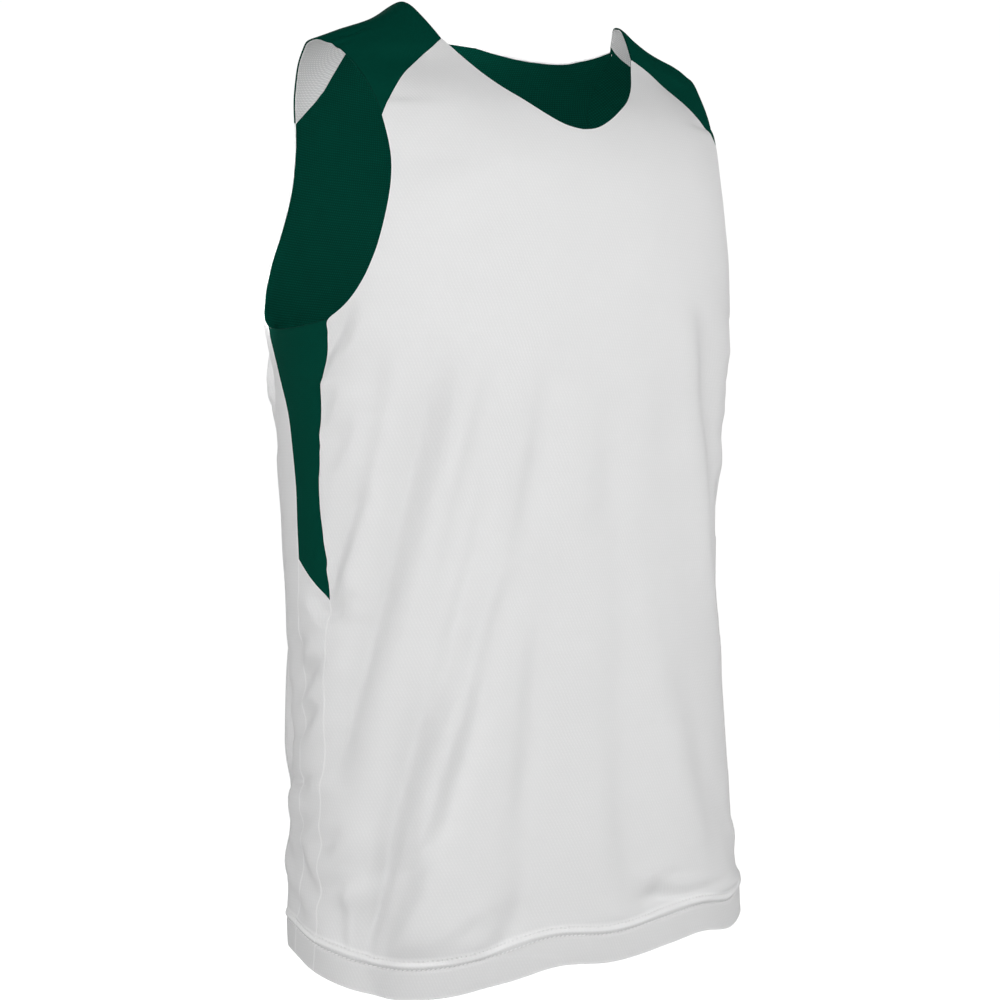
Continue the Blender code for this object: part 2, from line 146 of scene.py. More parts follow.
# Height of the shoulder line above the top section: the collar side stands up, the arm side slopes down.
SHOULDER_LINE = Table(
    "half_width rise",
    (0, 0.02), (0.085, 0.02), (0.098, 0.018), (0.108, 0.011), (0.12, 0.004), (0.15, -0.008),
    (0.175, -0.019), (0.21, -0.03),
)

# Drop of the hem below the lowest section, round the body.
HEM_LINE = Table(
    "angle drop",
    (-180, 0.004), (-140, 0.001), (-112, -0.008), (-97, -0.006), (-84, 0.002), (-70, 0.009), (-54, 0.017),
    (-38, 0.016), (-25, 0.009), (-12, -0.001), (3, 0), (20, -0.008), (30, -0.012), (45, -0.009),
    (60, -0.016), (85, -0.012), (115, -0.004), (150, 0.002), (180, 0.004),
)
HEM_LINE_FADES_AT = 2.6     # level where the drop has died out

# Edge of the front piece: side seam up to the armhole, then the armhole edge up to the ridge.
FRONT_EDGE = Table(
    "level angle",
    (0, 82.5), (0.35, 80), (0.92, 78), (1.41, 76.3), (2, 74.6), (2.65, 72.6), (3.26, 73.7), (3.8, 73.5),
    (4.33, 72.2), (5.04, 70), (5.54, 67.8), (5.74, 66.6), (5.86, 62.8), (6.02, 58.9), (6.26, 55.2),
    (6.55, 52.3), (6.84, 50.2), (7.4, 47.9), (7.94, 47.4), (8.62, 49.2), (9.2, 51.6), (9.77, 54.4),
    (10.54, 58.6), (11.29, 63.6), (12, 66.4),
)

# Edge of the back piece, its angle counted from the centre back.
BACK_EDGE = Table(
    "level angle",
    (0, 83.5), (0.35, 86), (0.9, 89), (1.5, 89.6), (2.28, 90.2), (2.96, 92.2), (3.6, 92.6), (4.17, 91),
    (4.57, 88.9), (4.94, 86), (5.25, 83.2), (5.54, 80.3), (5.7, 78.5), (5.78, 73.5), (5.9, 67.5),
    (6.08, 62.8), (6.3, 59.5), (6.5, 55.5), (6.81, 50.4), (7.19, 45.9), (7.55, 43.2), (8, 42),
    (8.44, 43.3), (8.94, 47), (9.39, 51.6), (9.82, 55), (10.5, 60.2), (11.2, 64.2), (12, 66.4),
)

# Neck edge of a yoke over the shoulder; a course above RIDGE_LEVEL is on the back.
YOKE_NECK_EDGE = Table(
    "course angle",
    (8.5, 20), (9.4, 23.6), (10.27, 26.8), (11, 29.2), (11.5, 30.6), (12, 31.6), (12.25, 33.4),
    (12.45, 34.7), (12.64, 35.9), (13.1, 35), (13.6, 34), (14.2, 32.5), (15.2, 30),
)

# Necklines and yoke seams, from the centre to the armhole.
FRONT_NECKLINE = Table(
    "angle level",
    (0, 8.55), (4, 8.6), (8.5, 8.77), (13, 9.01), (17.7, 9.3), (21.5, 9.62), (24.6, 9.98), (26.8, 10.27),
)
FRONT_YOKE_SEAM = Table(
    "angle level",
    (26.8, 10.27), (30.2, 10.05), (33.6, 9.9), (37, 9.72), (40.5, 9.5), (43.5, 9.25), (46.2, 8.99),
    (48.2, 8.75), (49.2, 8.62),
)
BACK_NECKLINE = Table(
    "angle level",
    (0, 10.83), (8, 10.76), (14.2, 10.72), (20.1, 10.71), (26.1, 10.74), (29.5, 10.8), (32.7, 10.97),
    (34.4, 11.15), (35.9, 11.36),
)
BACK_NECK_SKEW = 0.10       # levels by which the back neckline is lower on the left and higher on the right
BACK_YOKE_SEAM = Table(
    "angle level",
    (35.9, 11.36), (37.4, 11.04), (37.9, 10.62), (38.2, 10.2), (38.8, 9.84), (40.4, 9.52), (43.2, 9.22),
    (47, 8.94),
)

# Where the lining's left yoke is pieced behind the shoulder, from the neck (lane 0) to the armhole (lane 1).
PIECED_SEAM = Table(
    "lane course",
    (0, 12.44), (0.06, 12.54), (0.12, 12.6), (0.22, 12.66), (0.44, 12.86), (0.69, 13.15), (1, 13.45),
)

# Levels of matching rows up the two side seams.
SEAM_ROWS = Table(
    "front back",
    (0, 0), (0.18, 0.18), (0.28, 0.28), (0.33, 0.33), (0.85, 0.95), (1.45, 1.6), (2.05, 2.28),
    (2.65, 2.96), (3.3, 3.55), (4, 4.2), (4.65, 4.8), (5.25, 5.3), (5.74, 5.7),
)
HEM_ROW = 3                 # row at the top of the hem
SLANT_ROW = 7               # row of the slanted seam between side insert and panel
TOP_ROW = 12                # row of the armhole's floor
ARMHOLE_DIP = 0.08          # levels by which the armhole's floor dips between the side seams

# Folds that the solids have too: soft troughs along slightly bowed lines. Angles, bow and width are in
# degrees, the rest in metres.
FOLDS = Table(
    "top_angle top_height foot_angle foot_height bow width depth foot_depth",
    # wide hollows under the collar bones
    (39, -0.02, 45, -0.072, 0, 8, 0.004, 0.002), (-39, -0.02, -45, -0.072, 0, 8, 0.004, 0.002),
    # long folds that fall from the chest, wearer's right to left
    (-33, -0.245, -70, -0.585, 3, 6, 0.005, 0.006), (-24, -0.27, -58, -0.715, 1, 5.5, 0.004, 0.009),
    (-11, -0.235, -27, -0.7, 3, 6, 0.004, 0.006), (2, -0.27, 6, -0.67, 0, 5.5, 0.003, 0.003),
    (14, -0.29, 44, -0.66, -1, 6, 0.004, 0.004), (35, -0.21, 52, -0.48, 0, 7, 0.003, 0),
    (62, -0.26, 68, -0.71, 2, 5, 0, 0.005),
    # drag lines out of the side seams
    (-57, -0.232, -68, -0.275, 0, 4, 0.002, 0.002), (-60, -0.285, -71, -0.325, 0, 4, 0.002, 0.002),
    (-57, -0.345, -72, -0.412, 0, 5, 0.003, 0.003), (-60, -0.425, -70, -0.447, 0, 4, 0.003, 0.002),
    (57, -0.24, 68, -0.29, 0, 4, 0.002, 0.002), (58, -0.33, 71, -0.39, 0, 5, 0.003, 0.003),
    (60, -0.455, 71, -0.49, 0, 4.5, 0.003, 0.002),
    # long folds that fall from the shoulder blades
    (-128, -0.25, -112, -0.64, 2, 6, 0.004, 0.005), (-146, -0.215, -136, -0.71, -2, 6.5, 0.004, 0.008),
    (-166, -0.23, -162, -0.7, 2, 6, 0.004, 0.006), (173, -0.26, 176, -0.71, -2, 6, 0.003, 0.005),
    (152, -0.21, 146, -0.705, 2, 6.5, 0.005, 0.008), (131, -0.245, 117, -0.66, -1, 6, 0.004, 0.005),
)
FOLD_FADE_IN = 0.30         # share of a fold's length over which it deepens to its top depth
FOLD_FADE_OUT = 0.12        # the same at its foot
FOLD_HEM_RUNOUT = -0.690    # folds whose foot is below this height run on through the hem

SLANT_SCALE = 1.6           # makes troughs and ridges about as deep and high as their numbers say


@dataclass(frozen=True)
class Drape:
    """One crease: a trough and a ridge side by side along a line that climbs the body.

    Width, depth and ridge are in millimetres. A positive ridge lies on the side of larger angles and a
    negative one on the other. The line has heights in metres, angles, and shares that scale the crease.
    """

    width: float
    depth: float
    ridge: float
    line: Table

    def sunk(self, angle: Array, height: Array, form: "BodyForm") -> Array:
        """Depth of the crease: steepest on its line, with a trough on one side and a ridge on the other.

        The distance from the line is the girth between, times the cosine of the line's lean. At a distance
        of x widths the slant is x times the fall of an exponential over the root of one and x squared, less
        one.

        Args:
            angle: degrees round the body.
            height: metres.
            form: the form that the cloth lies on.

        Returns:
            Metres inwards.
        """
        total = np.zeros(height.shape)
        ends = self.line["height"]
        near = (height > ends[0]) & (height < ends[-1])
        up = height[near]
        girth = form.girth_per_degree(float(np.mean(self.line["angle"])))
        line = self.line.at(up, "angle")
        lean = (self.line.at(up + MM, "angle") - self.line.at(up - MM, "angle")) * girth / (2.0 * MM)
        aside = wrapped(angle[near] - line) * girth / np.hypot(1.0, lean)
        across = aside / (self.width * MM) * np.sign(self.ridge)
        slant = SLANT_SCALE * across * np.exp(1.0 - np.hypot(1.0, across))
        ridge = abs(self.ridge)
        size = 0.5 * (self.depth + ridge) - 0.5 * (self.depth - ridge) * np.tanh(across)
        total[near] = -slant * size * MM * np.maximum(self.line.at(up, "share"), 0.0)
        return total

    def echoed(self, turn: float, add: float, lift: float, scale: float) -> "Drape":
        """A like crease elsewhere, which fades out at both ends.

        Args:
            turn: 1 to keep the way it leans, -1 to mirror it.
            add: degrees added after that.
            lift: metres by which it lies higher.
            scale: scale of its depth.

        Returns:
            The crease.
        """
        share = self.line["share"].copy()
        share[[0, -1]] = 0.0
        rows = zip(self.line["height"] + lift, turn * self.line["angle"] + add, share)
        line = Table("height angle share", *rows)
        return Drape(self.width, self.depth * scale, self.ridge * scale * turn, line)


def drape(width: float, depth: float, ridge: float, *points: Place) -> Drape:
    """A crease along points of height in millimetres, angle and share, from its foot up."""
    rows = ((height / 1000.0, angle, share) for height, angle, share in points)
    return Drape(width, depth, ridge, Table("height angle share", *rows))


DRAPES = (
    # long folds from the chest, wearer's right first
    drape(9.5, 3.8, 3.8, (-567, -70, 0), (-542, -65.8, 1), (-498, -59.2, 1.5), (-454, -53, 1.6),
          (-410, -47.8, 1.7), (-367, -43.5, 1.9), (-324, -39.2, 2.1), (-281, -35.8, 1.4),
          (-238, -32.5, 0)),
    drape(8, 4.4, -3.8, (-529, -42, 0), (-508, -40.2, 0.5), (-484, -38, 1), (-454, -35.8, 1.1),
          (-433, -33.5, 1.1), (-411, -31.2, 1), (-367, -27.8, 0.7), (-328, -25.8, 0)),
    drape(9.5, 5.4, -4.6, (-627, -43.5, 0), (-613, -42.2, 0.5), (-597, -40.5, 1.1), (-561, -37, 1.3),
          (-519, -32.2, 1.2), (-476, -28, 1), (-433, -24, 0.8), (-404, -20.5, 0)),
    drape(13.5, 5.2, -4.6, (-691, -28, 0), (-680, -25.8, 1.4), (-666, -23.5, 1.5), (-642, -21.2, 1.1),
          (-614, -20.5, 0.9), (-577, -19.5, 1.1), (-549, -18.2, 1.2), (-521, -17, 1.2),
          (-491, -15.8, 1.1), (-462, -14.2, 1), (-434, -12.5, 0.8), (-404, -11.2, 0.6), (-360, -10.2, 0)),
    drape(14, 3.8, -3.2, (-675, 8, 0), (-657, 7.5, 0.8), (-634, 7, 1), (-597, 6.5, 1), (-554, 6.2, 0.9),
          (-509, 6.2, 0.9), (-464, 7, 1), (-412, 6.8, 0.9), (-368, 4.8, 0.8), (-315, 3, 0.8),
          (-271, 0.2, 0)),
    drape(17, 2.7, -1.9, (-665, 52, 0), (-632, 46.5, 0.9), (-600, 41.8, 1), (-568, 37.5, 1),
          (-529, 34.2, 1), (-483, 31.2, 1), (-437, 28.8, 1), (-390, 25.5, 1), (-345, 21, 0.9),
          (-300, 19, 0.8), (-258, 17.8, 0)),
    drape(12, 4.4, -3, (-463, 56.2, 0), (-431, 52.5, 0.6), (-399, 48.5, 1.3), (-375, 47.2, 1.3),
          (-352, 45.8, 1.2), (-321, 43, 1), (-283, 37.8, 0.8), (-233, 32.8, 0.8), (-208, 28.8, 0)),
    # drag lines out of the right side seam
    drape(6, 4.6, 3, (-276, -70, 0), (-256, -65.8, 1.2), (-243, -62, 1.2), (-229, -58.8, 0.8),
          (-210, -56, 0)),
    drape(2.6, 0.9, 0.8, (-264, -63.8, 0), (-251, -61, 1), (-239, -58.2, 1), (-224, -55.5, 0)),
    drape(5.5, 2.2, 1.6, (-313, -71.2, 0), (-302, -68.8, 1), (-289, -66.5, 1), (-276, -64, 0)),
    drape(6, 2.2, 1.6, (-344, -68.5, 0), (-328, -64.5, 1), (-311, -61, 1), (-297, -59, 0)),
    drape(7, 3.4, 3.2, (-439, -71.5, 0), (-426, -68.2, 1), (-401, -64, 1), (-367, -58.8, 1),
          (-339, -55.5, 0.9), (-302, -52.5, 0.8), (-277, -50.5, 0.7), (-241, -48.2, 0)),
    drape(4, 1, 0.8, (-390, -70, 0), (-378, -67, 1), (-366, -64.5, 0)),
    drape(6, 2.6, 2, (-449, -73, 0), (-442, -68.5, 1.1), (-432, -65.2, 1), (-417, -61.8, 0)),
    drape(8, 3, 2.2, (-624, -76.2, 0), (-610, -70.5, 1), (-595, -66.2, 0)),
    drape(8, 3.4, 2.4, (-657, -77.8, 0), (-646, -70.8, 1), (-638, -65.5, 1), (-629, -60.2, 0)),
    drape(5.5, 2.6, 2, (-687, -66, 0), (-674, -67.5, 1.1), (-655, -67.2, 1), (-634, -67.8, 0)),
    # puckers of the right side panel
    drape(8, 4.2, 1.4, (-488, -91, 0), (-472, -86.5, 1), (-458, -82.8, 0)),
    drape(8, 4.8, 1.8, (-514, -90.5, 0), (-498, -83, 1), (-484, -77.2, 1), (-473, -72.8, 0)),
    drape(8, 4.4, 1.6, (-543, -91.5, 0), (-530, -84.8, 1), (-518, -80, 1), (-506, -76, 0)),
    drape(8, 3.4, 1.2, (-579, -91.8, 0), (-569, -84.5, 1), (-559, -79.2, 0)),
    drape(8, 3.4, 1.2, (-612, -92.2, 0), (-600, -84.8, 1), (-589, -79, 0)),
    drape(6.5, 2.4, 1, (-650, -80.2, 0), (-634, -83.2, 1), (-621, -87.5, 1), (-608, -92, 0)),
    drape(6.5, 2.4, 1, (-668, -84.8, 0), (-656, -89.8, 1), (-646, -95, 0)),
    drape(4.6, 2.4, -1.8, (-456, -73.2, 0), (-442, -78, 1), (-427, -82.5, 0)),
    # creases over the hem at the left, across the chest and over the hem in front
    drape(9, 3.4, -2.4, (-671, 11, 0), (-660, 13.2, 1), (-647, 16.2, 1), (-636, 19, 0)),
    drape(9.5, 3.2, 2.6, (-668, 28.2, 0), (-659, 24, 1), (-650, 19.8, 1), (-640, 15.8, 0)),
    drape(8, 3.6, 2.8, (-664, 34.5, 0), (-658, 40.2, 1), (-650, 49, 0)),
    drape(16, 1.8, -2.6, (-177, -39.8, 0), (-157, -34.2, 1), (-136, -29.2, 1), (-113, -24.2, 0)),
    drape(8, 3, -2.6, (-687, -41.2, 0), (-676, -36.8, 0.8), (-663, -32.5, 1), (-650, -28.5, 0)),
    # creases between the long folds, at the right hem and in the middle
    drape(4.4, 1.9, 1.9, (-711, -59, 0), (-701, -59.2, 0.6), (-681, -58, 1.1), (-663, -55.8, 1.1),
          (-639, -53, 1), (-613, -50.2, 0.8), (-594, -48.2, 0)),
    drape(10, 2.4, -2, (-454, -25.2, 0), (-433, -23.8, 0.3), (-411, -21.8, 0.7), (-389, -19.8, 0.9),
          (-367, -17.8, 1), (-323, -14.8, 1), (-280, -13.5, 0.8), (-240, -12, 0)),
    drape(7.5, 1.8, -1.6, (-433, -39.8, 0), (-411, -37.8, 0.7), (-367, -34.2, 0.8), (-324, -31, 1),
          (-280, -27.8, 1), (-240, -24.8, 0)),
    drape(8, 4.2, 4.2, (-692, -59.5, 0), (-669, -57.5, 1.7), (-647, -54.5, 1.5), (-626, -52, 1.5),
          (-604, -49.5, 1.4), (-561, -45, 1.4), (-540, -42.5, 1.3), (-508, -40, 0.7), (-472, -37.2, 0)),
    drape(9, 5.4, 5.4, (-691, -52.8, 0), (-669, -50.5, 1.3), (-647, -46.5, 1.3), (-627, -43.8, 1.1),
          (-616, -42.5, 0.6), (-603, -41.2, 0)),
)

# Like creases on the sides that face away: which of the above, its turn, the degrees added, lift and scale.
ECHOES = Table(
    "source turn add lift scale",
    # the wearer's left side
    (7, -1, 0, -0.004, 0.9), (9, -1, -1, 0.012, 1), (10, -1, 2, -0.012, 1), (12, -1, 1, 0.022, 1.1),
    (14, -1, -2, -0.015, 1), (16, -1, 2, 0.01, 0.9), (17, -1, 1, -0.014, 0.6), (18, -1, -1, 0.016, 0.6),
    (20, -1, 0, -0.01, 0.7), (22, -1, -2, 0.012, 0.7),
    # the back, from the wearer's left round to the right
    (0, 1, 180, 0.012, 1), (1, 1, 184, -0.01, 0.8), (2, 1, 181, 0.02, 0.7), (3, 1, 177, -0.004, 1),
    (4, 1, 181, 0.015, 1.2), (3, -1, 184, 0.016, 0.9), (2, -1, 180, -0.006, 0.7),
    (1, -1, 176, 0.014, 0.8), (0, -1, 182, -0.012, 1), (7, 1, 182, 0.01, 1), (10, 1, 180, -0.02, 1),
    (11, 1, 178, 0.012, 0.9), (14, 1, 181, -0.01, 1), (7, -1, 179, -0.012, 1), (9, -1, 181, 0.004, 1),
    (10, -1, 178, 0.016, 1), (14, -1, 182, -0.018, 1),
)

# Creases on the yokes and over the shoulders, placed by course in place of height.
SHOULDER_CREASES = Table(
    "angle course length width tilt bend depth lip",
    (-50, 11.1, 26, 5, 58, 2, 1.6, 0.9), (-56, 10.6, 22, 4.5, 52, -1, 1.3, -0.7),
    (50, 11, 26, 5, -58, 2, 1.4, 0.8),
)


def eased(x: Array) -> Array:
    """Smooth step from 0 to 1: 3x² − 2x³."""
    x = np.clip(x, 0.0, 1.0)
    return x * x * (3 - 2 * x)


def wrapped(angle: Array) -> Array:
    """The same angle between -180 and 180 degrees."""
    return (np.asarray(angle, dtype=float) + 180.0) % 360.0 - 180.0


def unit(vectors: Array) -> Array:
    """The vectors at length 1."""
    return vectors / np.maximum(np.linalg.norm(vectors, axis=-1, keepdims=True), 1e-12)


def run_along(net: Array, axis: int) -> Array:
    """Way walked along each grid line of a net of points: running sums of its chords."""
    chords = np.diff(net, axis=axis, prepend=np.take(net, [0], axis=axis))
    return np.cumsum(np.linalg.norm(chords, axis=-1), axis=axis)


def facing(surface: Surface, angle: Array, course: Array) -> Array:
    """Outward normal of a surface: the cross product of its two tangents, by central differences.

    Args:
        surface: the surface, as a function of angle and course.
        angle: angles of the points.
        course: courses of the points.

    Returns:
        Unit normals.
    """
    step = 0.02
    east = surface(angle + step, course) - surface(angle - step, course)
    north = surface(angle, course + step) - surface(angle, course - step)
    return unit(np.cross(east, north))


@dataclass(frozen=True)
class BodyForm:
    """The smooth form under the cloth: squared ovals, level over level, tipped up to the shoulder line."""

    squareness: float = 2.25
    rise_from: float = 9.0

    def over(self, angle: Array, course: Array) -> tuple[Array, Array]:
        """Turn a course that may run over the ridge and down the back into a level.

        Args:
            angle: degrees round the body, as on the front.
            course: the courses.

        Returns:
            Angles and levels.
        """
        behind = course > RIDGE_LEVEL
        turned = np.sign(angle) * (180.0 - np.abs(angle))
        return np.where(behind, turned, angle), np.where(behind, 2 * RIDGE_LEVEL - course, course)

    def point(self, angle: Array, course: Array) -> Array:
        """Point on the form.

        The section at a level is an oval |x/a|^n + |y/b|^n = 1 about its own centre, with b different in
        front and behind. Near the top its height rises to the shoulder line by half width, and near the hem
        it drops by angle.

        Args:
            angle: degrees round the body.
            course: level, or a course past the ridge.

        Returns:
            Points, with x, y and z on the last axis.
        """
        angle, level = self.over(angle, course)
        centre = SECTIONS.at(level, "centre_y")
        turn = np.radians(angle)
        side, ahead = np.sin(turn), np.cos(turn)
        n = self.squareness
        radius = (np.abs(side) ** n + np.abs(ahead) ** n) ** (-1.0 / n)
        x = SECTIONS.at(level, "half_width") * radius * side
        to_front = -(SECTIONS.at(level, "front") + centre)
        to_back = -(SECTIONS.at(level, "back") - centre)
        y = centre + np.where(ahead >= 0.0, to_front, to_back) * radius * ahead
        tip = eased((level - self.rise_from) / (RIDGE_LEVEL - self.rise_from))
        fade = eased(1.0 - level / HEM_LINE_FADES_AT)
        rise = tip * SHOULDER_LINE.at(np.abs(x), "rise")
        drop = fade * HEM_LINE.at(wrapped(angle), "drop")
        return np.stack([x, y, SECTIONS.at(level, "height") + rise - drop], axis=-1)

    def girth_per_degree(self, angle: float, level: float = 4.0) -> float:
        """Metres of cloth per degree round the body, read over two degrees to each side of an angle."""
        ends = self.point(np.array([angle - 2.0, angle + 2.0]), np.array([level, level]))
        return float(np.linalg.norm(ends[1] - ends[0])) / 4.0


@dataclass(frozen=True)
class Relief:
    """How far the cloth lies inside or outside the smooth form."""

    form: BodyForm
    unevenness: float = 0.25 * MM
    shoulder_level: float = 10.0     # where the girth under the shoulder creases is read
    lip_aside: float = 1.6           # distance and width of a crease's lip, in widths of the crease
    lip_width: float = 1.25

    def folds(self, angle: Array, height: Array) -> Array:
        """Depth of the long folds: a bell across each bowed line, deepening from its top to its foot.

        Args:
            angle: degrees round the body.
            height: metres.

        Returns:
            Metres inwards.
        """
        total = np.zeros(np.broadcast(angle, height).shape)
        for top_angle, top, foot_angle, foot, bow, width, depth, foot_depth in FOLDS.rows():
            share = (top - height) / (top - foot)
            line = top_angle + (foot_angle - top_angle) * share + bow * 4 * share * (1 - share)
            fade = eased(share / FOLD_FADE_IN)
            if foot > FOLD_HEM_RUNOUT:
                fade = fade * eased((1.0 - share) / FOLD_FADE_OUT)
            deep = depth + (foot_depth - depth) * np.clip(share, 0.0, 1.0)
            total += deep * fade * np.exp(-(wrapped(angle - line) / width) ** 2)
        return total

    def shoulder_crease(self, aside: Array, up: Array, row: tuple[float, ...]) -> Array:
        """Depth of a crease: a bell across its bowed line less a lower bell beside it, fading at both ends.

        Args:
            aside: metres to the side of its middle.
            up: metres above its middle.
            row: length, width, tilt, bend, depth and lip, as in the table.

        Returns:
            Depths in metres.
        """
        length, width, tilt, bend, depth, lip = row
        lean = math.radians(tilt)
        half = 0.5 * length * MM
        along = (up * math.cos(lean) + aside * math.sin(lean)) / half
        across = aside * math.cos(lean) - up * math.sin(lean) - bend * MM * (1.0 - along ** 2)
        across = across / (width * MM)
        beside = (across - math.copysign(self.lip_aside, lip)) / self.lip_width
        shape = depth * np.exp(-across ** 2) - abs(lip) * np.exp(-beside ** 2)
        return shape * MM * np.exp(-np.abs(along) ** 2.6)

    def creases(self, angle: Array, height: Array, course: Array) -> Array:
        """Depth of all creases.

        Args:
            angle: degrees round the body.
            height: metres.
            course: the courses, by which the shoulder creases are placed.

        Returns:
            Metres inwards.
        """
        angle, height = np.broadcast_arrays(angle, height)
        total = np.zeros(height.shape)
        echoes = [DRAPES[int(source)].echoed(*how) for source, *how in ECHOES.rows()]
        for crease in (*DRAPES, *echoes):
            total += crease.sunk(angle, height, self.form)
        for at_angle, at_course, *row in SHOULDER_CREASES.rows():
            aside = wrapped(angle - at_angle) * self.form.girth_per_degree(at_angle, self.shoulder_level)
            total += self.shoulder_crease(aside, (course - at_course) * METRES_PER_LEVEL, row)
        return total

    def waves(self, point: Array) -> Array:
        """Slight unevenness: products of crossing waves, 6 to 20 cm long.

        Args:
            point: points on the form.

        Returns:
            Metres inwards.
        """
        x, y, z = (point[..., k] for k in range(3))
        first = np.sin(x / 0.011 + 1.7 * np.sin(z / 0.031)) * np.sin(z / 0.017 + y / 0.019)
        second = np.sin(y / 0.009 - z / 0.023 + 0.8) * np.sin(x / 0.021 + z / 0.013 + 2.1)
        return self.unevenness * (first + second)

    def depth(self, angle: Array, course: Array) -> Array:
        """Whole depth of the cloth below the form.

        Args:
            angle: degrees round the body.
            course: the courses, which may lie past the ridge.

        Returns:
            Metres inwards.
        """
        point = self.form.point(angle, course)
        real_angle, _ = self.form.over(angle, course)
        height = point[..., 2]
        return self.folds(real_angle, height) + self.creases(real_angle, height, course) + self.waves(point)


@dataclass(frozen=True)
class HemRelief:
    """The turned hem: a thicker band, a groove at each sewn line and a welt above the lower one."""

    band: float = 0.45 * MM
    lower_groove: float = 0.60 * MM
    upper_groove: float = 0.15 * MM
    welt: float = 1.30 * MM

    def rise(self, level: Array) -> Array:
        """Height over the cloth.

        By millimetres above the lower line, the band ends between -0.6 and 0.6, and the welt rises from 0.1
        to 2.7 and falls from 3.2 to 8.2. The grooves are bells.

        Args:
            level: levels above the hem.

        Returns:
            Metres outwards.
        """
        up = level * HEM_PER_LEVEL / MM
        low, high = LOWER_LINE / MM, UPPER_LINE / MM
        band = self.band * (1.0 - eased((up - low + 0.6) / 1.2))
        lower = -self.lower_groove * np.exp(-((up - low) / 0.9) ** 2)
        upper = self.upper_groove * np.exp(-((up - high) / 0.8) ** 2)
        welt = self.welt * eased((up - low - 0.1) / 2.6) * (1.0 - eased((up - low - 3.2) / 5.0))
        return band + (lower - upper) + welt


@dataclass(frozen=True)
class Cloth:
    """The outside face of the outer cloth, as a function of angle and course."""

    form: BodyForm
    relief: Relief
    hem: HemRelief

    def drawn_in(self, angle: Array, course: Array) -> Array:
        """The form, moved in along its normal by the folds and creases."""
        normal = facing(self.form.point, angle, course)
        return self.form.point(angle, course) - normal * self.relief.depth(angle, course)[..., None]

    def surface(self, angle: Array, course: Array) -> tuple[Array, Array]:
        """Points and normals of the outside face, without the relief of the hem."""
        return self.drawn_in(angle, course), facing(self.drawn_in, angle, course)


class Chart:
    """Flat coordinates of the cloth: girth from the centre front, and climb from the sixth level."""

    def __init__(self, form: BodyForm) -> None:
        """Measure the form on a net of two degrees by a twentieth of a level.

        Args:
            form: the form that the cloth lies on.
        """
        self.form = form
        self.angles = np.linspace(-200.0, 300.0, 251)
        self.levels = np.linspace(-0.2, RIDGE_LEVEL, 245)
        net = form.point(*np.meshgrid(self.angles, self.levels, indexing="ij"))
        girth, climb = run_along(net, 0), run_along(net, 1)
        middle = np.searchsorted(self.angles, 0.0)
        sixth = np.searchsorted(self.levels, 6.0)
        self.net = np.stack([girth - girth[middle], climb - climb[:, sixth:sixth + 1]], axis=-1)

    def flat(self, angle: Array, level: Array) -> Array:
        """Girth and climb in metres, by straight interpolation in the net.

        Args:
            angle: degrees, unwrapped.
            level: levels up to the ridge.

        Returns:
            Pairs of coordinates on the last axis.
        """
        i = (angle - self.angles[0]) / (self.angles[1] - self.angles[0])
        j = (level - self.levels[0]) / (self.levels[1] - self.levels[0])
        i0 = np.clip(i.astype(int), 0, len(self.angles) - 2)
        j0 = np.clip(j.astype(int), 0, len(self.levels) - 2)
        s, t = (i - i0)[..., None], (j - j0)[..., None]
        low = self.net[i0, j0] * (1 - s) + self.net[i0 + 1, j0] * s
        high = self.net[i0, j0 + 1] * (1 - s) + self.net[i0 + 1, j0 + 1] * s
        return low * (1 - t) + high * t


CLOSE_SHARES = np.array([0.05, 0.12, 0.22, 0.36, 0.55, 0.76])    # extra marks inside the step beside a border


def marks(count: int, first: bool, last: bool) -> Array:
    """Shares from 0 to 1 in even steps, with the first or last step marked more closely.

    Args:
        count: even steps.
        first: whether the first step gets the closer marks.
        last: whether the last one does.

    Returns:
        Rising shares.
    """
    close = CLOSE_SHARES / count
    parts = [np.linspace(0.0, 1.0, count + 1)]
    if first:
        parts.append(close)
    if last:
        parts.append(1.0 - close)
    return np.unique(np.concatenate(parts).round(9))


def along_line(line: Table, shares: Array) -> tuple[Array, Array]:
    """Points at shares of the length of a line of the pattern.

    Args:
        line: a table of angle and level.
        shares: shares of its length.

    Returns:
        Angles and levels.
    """
    fine = np.linspace(line["angle"][0], line["angle"][-1], 400)
    run = np.hypot(np.diff(fine) * METRES_PER_DEGREE, np.diff(line.at(fine, "level")) * METRES_PER_LEVEL)
    length = np.concatenate(([0.0], np.cumsum(run)))
    angle = np.interp(shares * length[-1], length, fine)
    return angle, line.at(angle, "level")


def seam_level(position: Array, column: str) -> Array:
    """Levels at positions along SEAM_ROWS, in its front or back column."""
    return np.interp(position, np.arange(TOP_ROW + 1), SEAM_ROWS[column])


@dataclass
class Cut:
    """A cut piece as a grid of angles and courses, with its flat coordinates.

    Its borders are the first and last column and the first and last row, and each of their points is sewn (1)
    or turned (0).
    """

    name: str
    angle: Array
    course: Array
    sewn: tuple[Array, Array, Array, Array]
    flat: Array

    @property
    def hemmed(self) -> bool:
        """Whether the first row is the hem."""
        return self.course[0, 0] < 0.01


